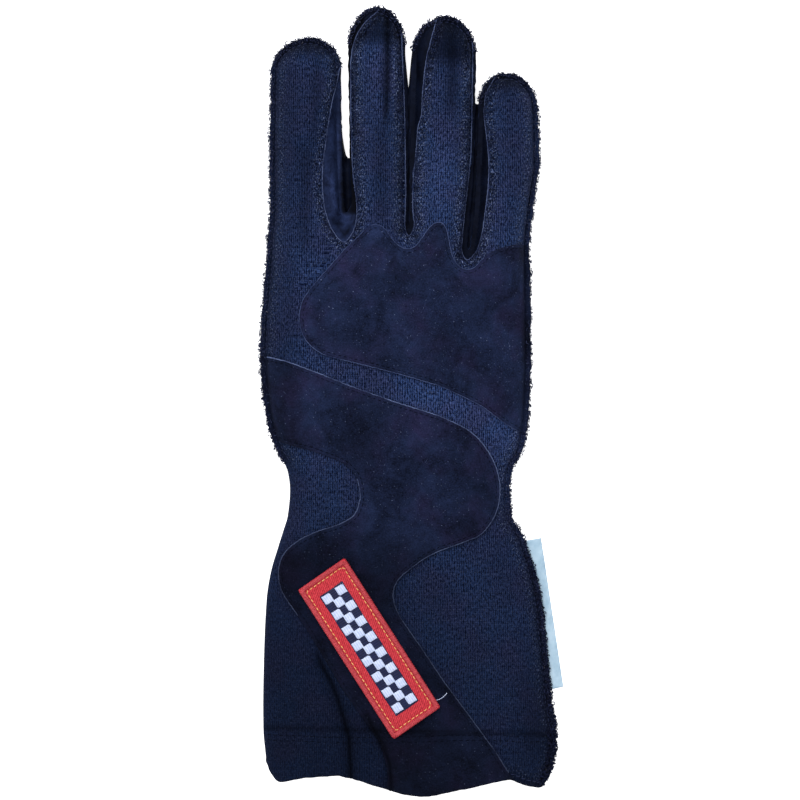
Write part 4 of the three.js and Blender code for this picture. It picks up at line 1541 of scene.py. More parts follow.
    def tone(self, side: Side, panel: Panel, spots: Spots) -> Array:
        """How light the cloth is painted: painted shade on the cuff, rim, tips and folds, painted light and
        shade on finger seams.

        Args:
            side: The face of the glove.
            panel: The kind of cloth.
            spots: Where on it.

        Returns:
            What the colour is multiplied by.
        """
        shape, x, y = self.shape, spots.x, spots.y
        if panel is Panel.SIDE_STRIP and side is Side.BACK:
            # Painted shadow: the strips deep in the narrow gaps, and the hollow low in the widest gap, are
            # painted dark.
            tone = np.where(x < -20, 0.95 - 0.87 * ease(-31.2, -28.8, x) * ease(76, 80, y), 0.2)
            for fold in shape.gap_folds:
                tone *= 1 - fold.shade_at(x, y)
            return tone
        right = ease(-20, 20, x)
        tone = PAINTED_FALLOFF.at(1, y) * (1 - right) + PAINTED_FALLOFF.at(2, y) * right
        if panel is Panel.OVERLAY:
            tone = PAINTED_FALLOFF.at(3, y)
        if side is Side.SOLE:
            return tone
        tone *= 1 + (0.2 if panel is Panel.OVERLAY else 0.1) * uneven(x, y, 13, 17)
        # Painted light and painted shade in broad patches.
        for spot_x, spot_y, across, along, amount in PAINTED_LIGHT_AND_SHADE.get(panel, ()):
            tone += amount * np.exp(-(((x - spot_x) / across) ** 2) - ((y - spot_y) / along) ** 2)
        # Painted shade in the cuff's creases and in the hem's groove.
        for crease in shape.cuff_creases:
            tone *= 1 - crease.shade_at(x, y)
        tone *= 1 - self.groove_shade * bump(shape.above_hem_groove(x, y), 0, 1)
        # On the knit: painted shade in its dents and at its tips, and painted light and shade on its puckered
        # finger seams.
        if panel is Panel.KNIT:
            for dent in shape.dents:
                tone *= 1 - dent.shade_at(x, y)
            tone *= 1 + 0.6 * spots.by_strip * uneven(x, y, 1.5, 7)
            tone *= 1 - self.tip_shade * shape.tip_fuzz_and_shade(x, y)
        # Painted shade on the index side near the wrist, and along the rim.
        tone *= 1 - self.side_shade * ease(-42, -54, x) * ease(-80, -30, y)
        return tone * (1 - self.rim_shade * shape.raw_edge(x, y) * (1 - ease(2.2, 4.4, spots.edge)))

    def lay(self, line: Array, panel: Panel, raise_by: float, side: Side = Side.BACK) -> Array:
        """A line in plan laid on a panel, raised off it by a distance."""
        points = self.heights(side, panel, line[:, :2])[0]
        points[:, 2] += side.value * raise_by
        return points

    def inset(self, distance: float) -> list[Array]:
        """Open lines at an even distance inside the outline, broken where it turns too tightly."""
        moved = self.outline - sideways(self.outline, True) * distance
        return [moved[run] for run in runs(self.to_edge(moved) > 0.93 * distance, least=7)]


def runs(chosen: Array, closed: bool = True, least: int = 1) -> list[Array]:
    """The stretches of a line that are chosen.

    Args:
        chosen: Which points of a line are chosen.
        closed: Whether it closes on itself.
        least: How many points a stretch has at least.

    Returns:
        The numbers of each stretch's points, in order.
    """
    if chosen.all():
        return [np.arange(len(chosen))]
    order = np.arange(len(chosen))
    if closed:
        order = np.roll(order, -int(np.argmin(chosen)))
    cuts = np.flatnonzero(np.diff(chosen[order].astype(int))) + 1
    return [part for part in np.split(order, cuts) if chosen[part[0]] and len(part) >= least]


def grid_triangles(rows: int, columns: int) -> Array:
    """Triangles over a grid of points, row after row, that face up where rows run up and columns right."""
    corner = (np.arange(rows - 1)[:, None] * columns + np.arange(columns - 1)).ravel()
    above = corner + columns
    first = np.stack([corner, corner + 1, above], 1)
    return np.vstack([first, np.stack([corner + 1, above + 1, above], 1)])


@dataclass
class Workshop:
    """What every sub-assembly works with: the surface, the finishes, the trims and the cut plans."""

    surface: ClothSurface
    trims: TrimTrees
    leather_end: float = -46.0
    back: PlanCut = field(init=False)
    sole: PlanCut = field(init=False)

    def __post_init__(self) -> None:
        """Cuts both faces of the glove."""
        surface = self.surface
        inner = [(line, False) for line in surface.strips]
        inner += [(line, True) for line in surface.overlays.values()]
        for crease in surface.shape.cuff_creases:
            line = evenly(np.array(crease.path), 1.1)
            inner.append((line[inside(surface.outline, line) & (surface.to_hem(line) > 1.5)], False))
        rows = (0.07, 0.22, 0.5, 1.0, 1.6, 2.1, 2.3, 2.5, 2.8, 3.3, 4.0, 4.9)
        self.back = PlanCut(surface.outline, inner, 1.45, rows, (0.35, 0.8, 1.4, 2.1, 2.9))
        end = evenly(np.array([[-80.0, self.leather_end], [80.0, self.leather_end]]), 1.5)
        inner = [(self.wrap_edge(), False), (end, False)]
        self.sole = PlanCut(surface.outline, inner, 1.9, (*rows[:8], 2.9, 3.5, 4.4), (0.5,))
        LOG.info("cut the plan: %d and %d triangles", len(self.back.triangles), len(self.sole.triangles))

    def wrap_edge(self) -> Array:
        """The line under the gauntlet where the folded back meets the underside."""
        shape = self.surface.shape
        y = np.arange(-170.0, shape.fold_start, 1.5)
        line = np.stack([shape.hand.at(1, y) + shape.fold_wrap, y], 1)
        return np.vstack([line, [[line[-1, 0], shape.fold_start], [-80.0, shape.fold_start]]])

    def wrapped(self, places: Array) -> Array:
        """Which places on the underside belong to the folded back."""
        shape = self.surface.shape
        x, y = places[:, 0], places[:, 1]
        return (y < shape.fold_start) & (x < shape.hand.at(1, y) + shape.fold_wrap)

    def in_gap(self, places: Array) -> Array:
        """Which gap between two fingers each place lies in, or -1."""
        found = np.full(len(places), -1)
        for i, line in enumerate(self.surface.strips):
            found[inside(line, places)] = i
        return found

    def part(self, cut: PlanCut, chosen: Array, side: Side, panel: Panel) -> Sheet:
        """The chosen triangles of a cut, laid on a panel's face and facing outwards.

        Args:
            cut: The cut.
            chosen: Which of its triangles.
            side: The face of the glove.
            panel: The kind of cloth.

        Returns:
            The sheet.
        """
        used, which = np.unique(cut.triangles[chosen], return_inverse=True)
        points, _, flat, values = self.surface.heights(side, panel, cut.points[used])
        return points, which.reshape(-1, 3)[:, :: side.value], flat, values

    def trim(
        self, name: str, slot: str, trim: Trim, lines: Sequence[Array], finish: Finish,
        sizes: Sizes, seed: int = 1, closed: bool = False,
    ) -> None:
        """Makes a trim along lines and hands it over.

        Args:
            name: The piece's name.
            slot: The record's material slot.
            trim: What is made.
            lines: What it follows.
            finish: Its finish.
            sizes: The trim's sizes.
            seed: The seed for anything random.
            closed: Whether each line closes on itself.
        """
        self.hand_over(self.trims.make(trim, line_object(name, lines, closed), finish, sizes, seed), slot)

    def hand_over(self, thing: Thing, slot: str, *nodes: str, finish: Finish | None = None) -> None:
        """Puts a finished piece on the glove's body and reports it.

        Args:
            thing: The piece.
            slot: Not used.
            nodes: The CAD nodes that it replaces.
            finish: Its finish, where a trim gave it none.
        """
        if finish is not None:
            thing.data.materials.clear()
            thing.data.materials.append(finish.material())
        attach(thing, ROOT)
        if nodes:
            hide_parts(*nodes)
        LOG.info("made %s: %d faces", thing.name, len(thing.data.polygons))


# The sewn panels


@dataclass
class KnitBack:
    """The knit back from the fingertips to the hem, folded round the gauntlet's index side."""

    shop: Workshop
    thickness: float = 1.5

    def build(self) -> None:
        """Builds the back."""
        shop = self.shop
        top = shop.part(shop.back, shop.in_gap(shop.back.middles) < 0, Side.BACK, Panel.KNIT)
        below = shop.part(shop.sole, shop.wrapped(shop.sole.middles), Side.SOLE, Panel.KNIT)
        thing = solid_sheet("knit_back", [top, below], weld=True)
        thicken(thing, self.thickness)
        shop.hand_over(thing, "knit", "back_knit", finish=KNIT)


@dataclass
class FingerSides:
    """The leather strips that make the facing sides of the fingers, with slack webs low between them.

    The webs end in the notches that show white between the fingers.
    """

    shop: Workshop
    thickness: float = 1.2
    # Where each web starts along the glove, how far it sags, and where it ends from its left to its right.
    webs: tuple[tuple[float, float, tuple[float, ...]], ...] = (
        (75.5, 2.6, (122, 119.5, 111, 106.4, 103.4, 102.6, 102.4, 103.2, 106.5)),
        (71.0, 1.2, (150, 148.5, 143, 136.5, 131.8, 137.5, 144, 148.5, 150)),
        (61.0, 1.4, (127, 126, 125.5, 125.1, 125, 125.1, 125.5, 126.4, 127.4)),
    )
    web_tuck: float = 0.9
    # How dark the webs are painted: painted shade, as they lie deep between the fingers.
    web_tone: float = 0.2

    def build(self) -> None:
        """Builds the three strips."""
        shop = self.shop
        gap = shop.in_gap(shop.back.middles)
        for i, (name, _) in enumerate(shop.surface.lines.side_strips):
            strip = shop.part(shop.back, gap == i, Side.BACK, Panel.SIDE_STRIP)
            thing = solid_sheet(name.replace("fourchette", "side_strip"), [strip, self.web(i)])
            thicken(thing, self.thickness)
            shop.hand_over(thing, "leather", name, finish=LEATHER)

    def web(self, i: int) -> Sheet:
        """The slack leather that lies low between two fingers, with a notched end.

        Args:
            i: Which gap, counted from the index finger.

        Returns:
            The web as a sheet.
        """
        start, sag, ends = self.webs[i]
        shape = self.shop.surface.shape
        share = np.linspace(0, 1, 25)
        end = np.interp(share, np.linspace(0, 1, len(ends)), ends)
        end = end + 0.25 * uneven(share * 6, share, 1, 15)
        y = start + (end - start) * np.linspace(0, 1, int((min(ends) - start) / 0.8))[:, None]
        left = shape.fingers[i].sides.at(2, y) - self.web_tuck
        right = shape.fingers[i + 1].sides.at(1, y) + self.web_tuck
        x = left * (1 - share) + right * share
        z = shape.seam(y) + 0.6 - sag * np.sin(np.pi * share) - 1.6 * ease(end - 5, end, y)
        points = np.stack([x.ravel(), y.ravel(), z.ravel()], 1)
        values = {"tone": np.full(len(points), self.web_tone)}
        return points, grid_triangles(*y.shape), points[:, :2], values


@dataclass
class Underside:
    """The leather palm with the finger fronts, and the knit underside of the gauntlet."""

    shop: Workshop
    leather_thickness: float = 1.25
    knit_thickness: float = 1.5

    def build(self) -> None:
        """Builds both panels."""
        shop = self.shop
        free = ~shop.wrapped(shop.sole.middles)
        on_palm = shop.sole.middles[:, 1] > shop.leather_end
        palm = solid_sheet("palm", [shop.part(shop.sole, free & on_palm, Side.SOLE, Panel.SIDE_STRIP)])
        thicken(palm, self.leather_thickness)
        shop.hand_over(palm, "leather", "palm_leather", finish=LEATHER)
        knit = shop.part(shop.sole, free & ~on_palm, Side.SOLE, Panel.KNIT)
        under = solid_sheet("gauntlet_underside", [knit])
        thicken(under, self.knit_thickness)
        shop.hand_over(under, "knit", "gauntlet_under", finish=KNIT)


@dataclass
class Thumb:
    """The leather thumb, lying flat under the palm that it opens into."""

    shop: Workshop
    thickness: float = 1.25
    stitches: Sizes = (2.4, 1, 0.22, 0, 0)
    tip: tuple[float, float] = (-25.5, 60.0)
    root: float = -37.0
    cap_start: float = 46.0
    crown: float = 2.3
    round_count: int = 56
    rows: SizeTable = SizeTable((
        (-40, -42, -15, 3.4, 13.6), (-30, -44.5, -13.5, 1, 13.6), (-18, -46.5, -13.5, 0, 13.2),
        (0, -46, -14, 0, 11.3), (20, -44, -13.5, 0, 11), (46, -39.5, -11.5, 0, 10.4),
    ))

    def ring(self, y: float, share: float) -> Array:
        """The points round one section.

        Args:
            y: Its place along the glove.
            share: The share of its full width that it has.

        Returns:
            Its points in order.
        """
        turns = np.linspace(0, 2 * np.pi, self.round_count + 1)[:-1]
        cosine, sine = np.cos(turns), np.sin(turns)
        row = min(y, self.cap_start)
        left, right = float(self.rows.at(1, row)), float(self.rows.at(2, row))
        bottom, top = float(self.rows.at(3, y)), float(self.rows.at(4, y))
        lean = max(0.0, y - self.cap_start) / (self.tip[1] - self.cap_start)
        middle = (left + right) / 2 * (1 - lean) + self.tip[0] * lean
        power = 2 / self.crown
        pinched = 0.5 * share * bump(sine, 0, 0.16)
        half = (right - left) / 2 * share
        x = middle + np.sign(cosine) * (half * np.abs(cosine) ** power - pinched)
        reach = (top - bottom) / 2 * share**0.8
        z = (bottom + top) / 2 + reach * np.sign(sine) * np.abs(sine) ** power
        wrinkles = uneven(x * 0.7, np.full_like(x, y) * 1.3, 5.0, 21)
        z = np.maximum(z + 0.22 * share * wrinkles * np.abs(sine), self.shop.surface.lowest)
        return np.stack([x, np.full_like(x, y), z], 1)

    def build(self) -> None:
        """Builds the thumb and the stitching along its sides."""
        shop = self.shop
        reach = self.tip[1] - self.cap_start
        places = [(y, 1.0) for y in np.arange(self.root, self.cap_start, 1.5)]
        for angle in np.radians(np.linspace(0, 88.5, 16)):
            places.append((self.cap_start + reach * math.sin(angle), math.cos(angle)))
        rings = [self.ring(y, share) for y, share in places]
        points = np.vstack([*rings, rings[-1].mean(0) + [[0, 0.2, 0]]])
        ceiling = shop.surface.heights(Side.SOLE, Panel.SIDE_STRIP, points)[0][:, 2] - 0.05
        over_palm = (points[:, 1] < 30) & (points[:, 2] > ceiling)
        points[over_palm, 2] = ceiling[over_palm]
        count = self.round_count
        around = np.arange(count)
        onward = (around + 1) % count
        triangles = []
        for first in range(0, (len(rings) - 1) * count, count):
            a, b = first + around, first + onward
            triangles += [np.stack([a, a + count, b], 1), np.stack([b, a + count, b + count], 1)]
        last = (len(rings) - 1) * count
        triangles.append(np.stack([last + around, np.full(count, len(points) - 1), last + onward], 1))
        flat = points[:, :2] + np.stack([points[:, 2], points[:, 2] * 0], 1)
        values = {"tone": np.ones(len(points))}
        thing = solid_sheet("thumb_tube", [(points, np.vstack(triangles), flat, values)])
        thicken(thing, self.thickness)
        shop.hand_over(thing, "leather", "thumb", finish=LEATHER)
        ends = ((0, 0.1), (count // 2, -0.1))
        sides = [np.array([ring[k] for ring in rings[8:-1]]) + [outward, 0, 0] for k, outward in ends]
        shop.trim("thumb_stitches", "leather", Trim.STITCHES, sides, SEAM_THREAD, self.stitches)


@dataclass
class SuedeOverlays:
    """The two suede overlays on the knit back, with their cut edges, stitching and lint."""

    shop: Workshop
    thickness: float = 1.0
    edge_round: float = 0.4
    edge_fall: float = 0.35
    stitch_inset: float = 1.5
    lint: Sizes = (20000, 0.9, 0.055)
    stitches: Sizes = (2.3, 0.85, 0.16, 0.05, 0.04)
    # The sizes and finish of the cut edge, on the knuckles and on the wrist.
    cut_edges: tuple[tuple[Sizes, Finish], ...] = (((0.18, 0.1), SOFT_CUT_EDGE), ((0.23, 0.1), CUT_EDGE))
    # Places where the cut edge is rubbed flat and shows no fibres, by their least and greatest x and y.
    rubbed: tuple[tuple[float, float, float, float], ...] = (
        (-99, -8, -200, -90), (-99, -22.5, -32, -10), (30, 99, 50, 99),
    )

    def build(self) -> None:
        """Builds both overlays and their trim."""
        shop = self.shop
        free = shop.in_gap(shop.back.middles) < 0
        for name, line in shop.surface.overlays.items():
            chosen = inside(line, shop.back.middles) & free
            points, triangles, flat, values = shop.part(shop.back, chosen, Side.BACK, Panel.OVERLAY)
            near = distance_to(line, points, True)
            away_from_seam = ease(1.5, 4.0, shop.surface.to_edge(points))
            points[:, 2] -= self.edge_fall * (1 - ease(0, self.edge_round, near)) * away_from_seam
            sheet = (points, triangles, flat, values)
            thing = solid_sheet(name + "_overlay", [sheet])
            lint = shop.trims.make(Trim.LINT, solid_sheet(name + "_lint", [sheet]), CUT_EDGE, self.lint, 4)
            shop.hand_over(lint, "suede")
            thicken(thing, self.thickness)
            shop.hand_over(thing, "suede", name, finish=SUEDE)
        self.trim_edges()

    def shown_stretches(self, line: Array, margin: float) -> list[Array]:
        """The stretches of a closed line that lie on the knit back, inside its outline by a margin."""
        surface = self.shop.surface
        good = inside(surface.outline, line) & (surface.to_edge(line) > margin)
        good &= self.shop.in_gap(line) < 0
        return [line[run] for run in runs(good, least=5)]

    def trim_edges(self) -> None:
        """Adds the pale cut edge along each overlay and the row of stitches inside it."""
        shop = self.shop
        rows = []
        for (name, line), (sizes, finish) in zip(shop.surface.overlays.items(), self.cut_edges):
            fine = evenly(line, 0.6, True)
            aside = sideways(fine, True) * self.stitch_inset
            turned = fine + aside if inside(line, (fine + aside)[:1])[0] else fine - aside
            edges = []
            for stretch in self.shown_stretches(fine, 2.6):
                x, y = stretch.T
                fibrous = np.ones(len(x), bool)
                for west, east, south, north in self.rubbed:
                    fibrous &= (x < west) | (x > east) | (y < south) | (y > north)
                for run in runs(fibrous, False):
                    edges.append(shop.surface.lay(stretch[run], Panel.OVERLAY, -0.16))
            shop.trim(name + "_cut_edge", "suede", Trim.CORD, edges, finish, sizes)
            turned = self.shown_stretches(turned, 3.0)
            rows += [shop.surface.lay(stretch, Panel.OVERLAY, 0.0) for stretch in turned]
        shop.trim("overlay_stitches", "suede", Trim.STITCHES, rows, HEM_THREAD, self.stitches)


@dataclass
class SeamTrim:
    """The raw terry edges, the seam stitching and the pale cut edges of the fingers' seams."""

    shop: Workshop
    stitch_inset: float = 2.45
    hem_rows: tuple[float, float] = (-140.4, -142.6)
    rim_loops: Sizes = (0.5, 0.58, 0.62, 1)
    flange_loops: Sizes = (0.8, 0.46, 0.4, 1)
    side_loops: Sizes = (0.7, 0.7, 0.7, 2)
    finger_loops: Sizes = (0.95, 0.31, 0.62, 2)
    finger_fibres: Sizes = (0.19, 0.1)
    seam_stitch: Sizes = (2.5, 1, 0.2, 0.08, 0.05)
    hem_stitch: Sizes = (2.6, 1, 0.19, 0.03, 0.06)

    def build(self) -> None:
        """Builds all the trim along the seams."""
        self.terry_edges()
        self.side_roll()
        self.seam_stitches()
        self.finger_edges()
        self.hem_stitches()

    def terry_edges(self) -> None:
        """Adds the crowded loops along the knit's raw edges and the looser ones on the flange."""
        shop, surface = self.shop, self.shop.surface
        outline = surface.outline
        inwards = -sideways(outline, True)
        edge = (surface.shape.raw_edge(*outline.T) > 0.5) & (surface.to_hem(outline) > 1.2)
        lines, loose = [], []
        for run in runs(edge):
            for height, aside in ((0.65, 0.0), (-0.5, 0.1)):
                line = (outline + inwards * aside)[run]
                lines.append(np.column_stack([line, surface.shape.seam(line[:, 1]) + height]))
        for distance in (0.5, 1.3):
            moved = outline + inwards * distance
            for run in runs(edge & (surface.to_edge(moved) > 0.9 * distance), least=6):
                loose.append(surface.lay(moved[run], Panel.KNIT, 0.1))
        shop.trim("raw_terry_edge", "knit", Trim.TERRY, lines, TERRY, self.rim_loops, 3)
        shop.trim("flange_pile", "knit", Trim.TERRY, loose, TERRY, self.flange_loops, 8)

    def side_roll(self) -> None:
        """Adds the thick roll of pile down the gauntlet's open side, thickest at the hem's corner."""
        shape = self.shop.surface.shape
        lines = []
        for aside, top in ((0.3, -58.0), (1.5, -64.0), (2.7, -138.0), (3.9, -138.0)):
            y = np.arange(-161.0, top, 0.6)
            x = shape.hand.at(2, y) - aside - 1.2 * ease(-150, -161, y)
            heavy = ease(-132, -142, y)
            lines.append(np.stack([x, y, shape.seam(y) + 1.5 + 1.1 * heavy - 0.25 * (aside - 1.8) ** 2], 1))
        self.shop.trim("side_pile", "knit", Trim.TERRY, lines, SHADED_SIDE_PILE, self.side_loops, 14)

    def seam_stitches(self) -> None:
        """Adds the lockstitch that holds the flanges together, on both faces."""
        shop, surface = self.shop, self.shop.surface
        top, below = [], []
        for line in surface.inset(self.stitch_inset):
            fold = (line[:, 0] < 0) & (line[:, 1] < surface.shape.fold_start + 2)
            for run in runs(~fold & (surface.to_hem(line) > 2.0), False, 7):
                row = line[run]
                for part in runs(shop.in_gap(row) < 0, False):
                    top.append(surface.lay(row[part], Panel.KNIT, 0.05))
                below.append(surface.lay(row, Panel.SIDE_STRIP, -0.18, Side.SOLE))
        for name, lines in (("seam_stitches_back", top), ("seam_stitches_under", below)):
            shop.trim(name, "knit", Trim.STITCHES, lines, SEAM_THREAD, self.seam_stitch)

    def finger_edges(self) -> None:
        """Adds the pale edge and the short pile along the seams between the fingers."""
        shop, surface = self.shop, self.shop.surface
        edges, pile = [], []
        for line in surface.strips:
            fine = evenly(line, 0.6)
            good = inside(surface.outline, fine) & (surface.to_edge(fine) > 0.4)
            for run in runs(good, False, 6):
                edges.append(surface.lay(fine[run], Panel.KNIT, 0.1))
                for distance in (0.8, 2.0):
                    pile.append(surface.lay(self.knit_side(fine[run], distance), Panel.KNIT, 0.02))
        shop.trim("finger_cut_edges", "knit", Trim.CORD, edges, CUT_EDGE, self.finger_fibres)
        shop.trim("finger_seam_pile", "knit", Trim.TERRY, pile, SEAM_PILE, self.finger_loops, 6)

    def knit_side(self, stretch: Array, distance: float) -> Array:
        """A seam's line moved onto the knit beside it."""
        aside = sideways(stretch) * distance
        return stretch + aside * (1 if (self.shop.in_gap(stretch + aside) < 0).mean() > 0.5 else -1)

    def hem_stitches(self) -> None:
        """Adds the two rows of stitches that hold the turned hem."""
        surface = self.shop.surface
        rows = []
        x = np.arange(-60.0, 56.0, 0.8)
        for place in self.hem_rows:
            line = np.stack([x, place + 0.5 * np.sin(x / 14) + 0.25 * uneven(x, x, 9, 3)], 1)
            rows.append(surface.lay(line, Panel.KNIT, -0.18, Side.SOLE))
            on_suede = inside(surface.overlays["wrist_suede"], line)
            for chosen, panel in ((~on_suede, Panel.KNIT), (on_suede, Panel.OVERLAY)):
                for run in runs(chosen, False, 4):
                    rows.append(surface.lay(line[run], panel, -0.05))
        self.shop.trim("hem_stitches", "knit", Trim.STITCHES, rows, HEM_THREAD, self.hem_stitch)


@dataclass
class EmbroideredPatch:
    """The embroidered patch: a red ground with a raised border, a gold stitch line and a check band."""

    shop: Workshop
    middle: tuple[float, float] = (-17.95, -103.55)
    length: float = 74.5
    width: float = 24.0
    turn: float = math.radians(-57.4)
    skew: float = 0.038
    thickness: float = 1.3
    top_lift: float = 1.5
    border: float = 2.1
    corner: float = 1.0
    gold_inset: float = 2.7
    satin_stitch: Sizes = (0.56, 1.25, 0.32, math.radians(80), 0.05)
    gold_stitch: Sizes = (2.1, 0.9, 0.21, 0.06, 0.05)
    loose_end: Sizes = (0.125, 0)
    band_length: float = 60.0
    band_width: float = 12.0
    band_thickness: float = 0.5
    band_rim: float = 1.0
    square_overlap: float = 1.04
    square_height: float = 0.45
    squares: tuple[int, int] = (15, 3)

    def laid(self, along: Array, across: Array, raise_by: Any) -> Array:
        """Places on the patch, laid on the gauntlet.

        Args:
            along: Places along its length from its middle.
            across: Places across it from its middle.
            raise_by: How far each lies above the patch's bed.

        Returns:
            Points in the glove's frame.
        """
        cosine, sine = math.cos(self.turn), math.sin(self.turn)
        along = along - self.skew * across
        x = self.middle[0] + along * cosine - across * sine
        y = self.middle[1] + along * sine + across * cosine
        bed = Panel.PATCH_BED
        points = self.shop.surface.heights(Side.BACK, bed, np.stack([x.ravel(), y.ravel()], 1))[0]
        points[:, 2] += self.top_lift + np.asarray(raise_by, float)
        return points

    def relief(self, along: Array, across: Array) -> Array:
        """The patch's own relief: a rolled border round a slightly quilted ground.

        Args:
            along: Places along its length from its middle.
            across: Places across it from its middle.

        Returns:
            Heights to add to its plain face.
        """
        edge = np.minimum(self.length / 2 - np.abs(along), self.width / 2 - np.abs(across))
        rolled = np.sin(np.pi * np.clip(edge / self.border, 0, 1)) ** 0.7 * 0.55
        fallen = -0.55 * (1 - ease(0, 0.7, edge))
        sewn_in = -0.22 * bump(edge - self.gold_inset, 0.1, 0.45)
        return rolled + fallen + sewn_in + 0.08 * uneven(along, across, 5, 31)

    def grid(self, length: float, width: float, step: float) -> tuple[Array, ...]:
        """An even grid over a rectangle: places along, places across, and triangles."""
        a = np.linspace(-length / 2, length / 2, int(length / step) + 1)
        b = np.linspace(-width / 2, width / 2, int(width / step) + 1)
        across, along = np.meshgrid(b, a, indexing="ij")
        return along.ravel(), across.ravel(), grid_triangles(len(b), len(a))

    def build(self) -> None:
        """Builds the ground, the border, the stitch line, the check band and a loose thread."""
        self.ground()
        self.edge_threads()
        self.check_band()
        self.loose_thread()

    def ground(self) -> None:
        """Builds the red ground, with its corners rounded."""
        shop = self.shop
        along, across, triangles = self.grid(self.length, self.width, 0.5)
        past_a = np.clip(np.abs(along) - self.length / 2 + self.corner, 0, None)
        past_b = np.clip(np.abs(across) - self.width / 2 + self.corner, 0, None)
        pull = np.maximum(past_a, past_b) / np.maximum(np.hypot(past_a, past_b), 1e-9) - 1
        at_corner = (past_a > 0) & (past_b > 0)
        round_a = along + np.sign(along) * past_a * pull * at_corner
        round_b = across + np.sign(across) * past_b * pull * at_corner
        points = self.laid(round_a, round_b, self.relief(along, across))
        thing = solid_sheet("patch_ground", [(points, triangles, np.stack([along, across], 1), {})])
        thicken(thing, self.thickness)
        shop.hand_over(thing, "embroidery", "patch", finish=TWILL)

    def edge_threads(self) -> None:
        """Adds the satin stitches that wrap the border, and the gold stitches just inside it."""
        satin = (self.border / 2 + 0.1, 0.4, 0, BORDER_THREAD, self.satin_stitch)
        gold = (self.gold_inset, 0.5, 0.12, GOLD_THREAD, self.gold_stitch)
        for name, row in (("patch_border", satin), ("patch_gold_stitches", gold)):
            inset, step, raise_by, thread, sizes = row
            a, b = self.length / 2 - inset, self.width / 2 - inset
            frame = np.array([[-a, -b], [a, -b], [a, b], [-a, b]])
            along, across = rounded(frame, step, 3, closed=True).T
            line = self.laid(along, across, self.relief(along, across) + raise_by)
            self.shop.trim(name, "embroidery", Trim.STITCHES, [line], thread, sizes, closed=True)

    def check_band(self) -> None:
        """Adds the navy band with its pale cushioned squares."""
        shop = self.shop
        along, across, triangles = self.grid(self.band_length, self.band_width, 0.5)
        edge = np.minimum(self.band_length / 2 - np.abs(along), self.band_width / 2 - np.abs(across))
        points = self.laid(along, across, 0.42 * ease(-0.1, 0.9, edge) - 0.15)
        band = solid_sheet("patch_band", [(points, triangles, np.stack([along, across], 1), {})])
        thicken(band, self.band_thickness)
        shop.hand_over(band, "embroidery", finish=NAVY_THREAD)
        columns, rows = self.squares
        rims = 2 * self.band_rim
        pitch_a, pitch_b = (self.band_length - rims) / columns, (self.band_width - rims) / rows
        i, j = np.array([divmod(k, rows) for k in range(columns * rows) if sum(divmod(k, rows)) % 2 == 0]).T
        a, b = (i - (columns - 1) / 2) * pitch_a, (j - (rows - 1) / 2) * pitch_b
        middle = self.laid(a, b, 0.2)
        ahead = self.laid(a + 1, b, 0.2) - middle
        up = np.cross(ahead, self.laid(a, b + 1, 0.2) - middle)
        carrier = line_object("patch_squares", [])
        carrier.data.from_pydata((middle * MM).tolist(), [], [])
        for key, value in (("up", up), ("ahead", ahead)):
            values = value.astype(np.float32).ravel()
            carrier.data.attributes.new(key, "FLOAT_VECTOR", "POINT").data.foreach_set("vector", values)
        sizes = (pitch_a * self.square_overlap, self.square_height)
        shop.hand_over(shop.trims.make(Trim.SQUARES, carrier, PALE_THREAD, sizes), "embroidery")

    def loose_thread(self) -> None:
        """Adds the short loose thread end beside the patch's lower corner."""
        share = np.linspace(0, 1, 14)
        plan = np.stack([9.8 + 4.8 * share, -125.2 + 0.6 * share + 2.4 * share**2.2], 1)
        line = self.shop.surface.lay(plan, Panel.OVERLAY, 0.45)
        line[:, 2] += 0.9 * np.sin(np.pi * share)
        self.shop.trim("loose_thread_end", "embroidery", Trim.CORD, [line], PALE_THREAD, self.loose_end)


@dataclass
class SideLabel:
    """The bare white ribbon sewn into the little-finger side of the gauntlet."""

    shop: Workshop
    tuck: float = 1.7
    thickness: float = 0.35
    inner_ends: tuple[float, float] = (-58.9, -121.4)
    outer_top: tuple[float, float] = (54.2, -57.3)
    outer_end: tuple[float, float] = (63.6, -119.9)
    ribbon_width: float = 8.0

    def build(self) -> None:
        """Builds the label."""
        shop, shape = self.shop, self.shop.surface.shape
        down, out = np.meshgrid(np.linspace(0, 1, 90), np.linspace(0, 1, 13))
        top, bottom = self.inner_ends
        inner_y = top + down * (bottom - top)
        inner_x = shape.hand.at(2, inner_y) - self.tuck
        outer_x, outer_y = (a + down * (b - a) for a, b in zip(self.outer_top, self.outer_end))
        x = inner_x * (1 - out) + outer_x * out
        y = inner_y * (1 - out) + outer_y * out
        length = top - bottom
        slow_curl = 0.45 * np.sin(down * 9.0 + 0.6)
        ripples = 0.6 * uneven(down * length, out * 4, 11, 41)
        z = shape.seam(y) + 0.1 + out**1.5 * (slow_curl + ripples) + 0.8 * np.sin(np.pi * out) * out
        points = np.stack([x.ravel(), y.ravel(), np.maximum(z, 0.4).ravel()], 1)
        flat = np.stack([(out * self.ribbon_width).ravel(), (down * length).ravel()], 1)
        thing = solid_sheet("side_ribbon", [(points, grid_triangles(*out.shape), flat, {})])
        thicken(thing, self.thickness)
        shop.hand_over(thing, "satin", "side_label", finish=SATIN)


# The studio


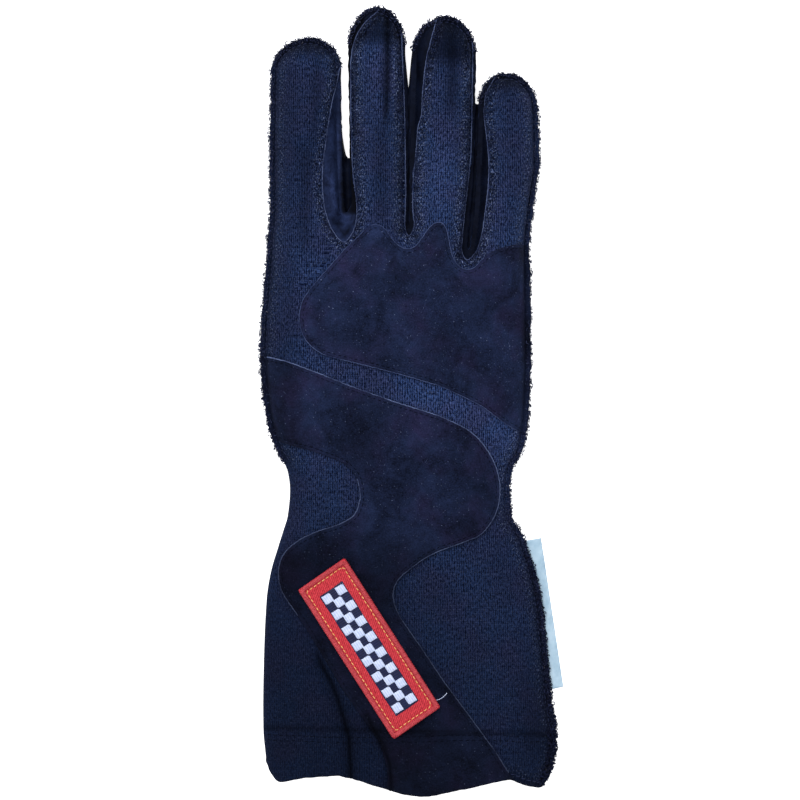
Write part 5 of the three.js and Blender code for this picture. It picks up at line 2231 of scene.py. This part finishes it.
@dataclass
class Studio:
    """The white paper, the soft lights and the camera straight above, framed as the photograph is."""

    frame_width: float = 0.336
    frame_middle: tuple[float, float] = (-0.00504, 0.00063)
    lens: float = 300.0
    sensor: float = 36.0
    subject_height: float = 0.008
    paper_reach: float = 6.0
    world_strength: float = 0.7
    # Each light's name, place, size and power.
    lamps: tuple[tuple[str, tuple[float, float, float], float, float], ...] = (
        ("key", (-0.55, 0.75, 1.25), 0.9, 15.0),
        ("fill", (0.9, -0.4, 1.4), 1.4, 5.0),
    )

    def build(self) -> None:
        """Sets the stage."""
        self.camera()
        self.floor()
        self.lights()
        bpy.context.scene.view_settings.view_transform = "Standard"

    def camera(self) -> None:
        """Places the camera."""
        data = bpy.data.cameras.new("camera")
        data.lens = self.lens
        data.sensor_width = self.sensor
        data.clip_end = 20
        camera = linked("camera", data)
        distance = self.frame_width * self.lens / self.sensor
        camera.location = (*self.frame_middle, self.subject_height + distance)
        bpy.context.scene.camera = camera

    def floor(self) -> None:
        """Lays the paper."""
        mesh = bpy.data.meshes.new("floor_paper")
        far = self.paper_reach
        mesh.from_pydata([(-far, -far, 0), (far, -far, 0), (far, far, 0), (-far, far, 0)], [], [(0, 1, 2, 3)])
        mesh.materials.append(StudioPaper().material())
        linked("floor_paper", mesh)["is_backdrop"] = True

    def lights(self) -> None:
        """Hangs the lights and sets the pale surroundings."""
        for name, place, size, power in self.lamps:
            data = bpy.data.lights.new(name, "AREA")
            data.size = size
            data.energy = power
            light = linked(name, data)
            light.location = place
            light.rotation_euler = (-Vector(place)).to_track_quat("-Z", "Y").to_euler()
        world = bpy.data.worlds.new("pale_room")
        world.use_nodes = True
        tree = world.node_tree
        tree.nodes.clear()
        white = {"Color": 0xFFFFFF, "Strength": self.world_strength}
        add(tree, "OutputWorld", {0: add(tree, "Background", white)})
        bpy.context.scene.world = world


def corners() -> list[list[float]]:
    """The lowest and highest corner of what is shown, as plain numbers."""
    return [[float(value) for value in corner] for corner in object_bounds()]


def main() -> None:
    """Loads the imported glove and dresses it."""
    logging.basicConfig(level=logging.INFO, format="%(name)s: %(message)s")
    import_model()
    Studio().build()
    shop = Workshop(ClothSurface(GloveShape(), SeamLines()), TrimTrees())
    panels = (KnitBack, FingerSides, Underside, Thumb, SuedeOverlays)
    for sewn in (*panels, SeamTrim, EmbroideredPatch, SideLabel):
        sewn(shop).build()


if __name__ == "__main__":
    main()
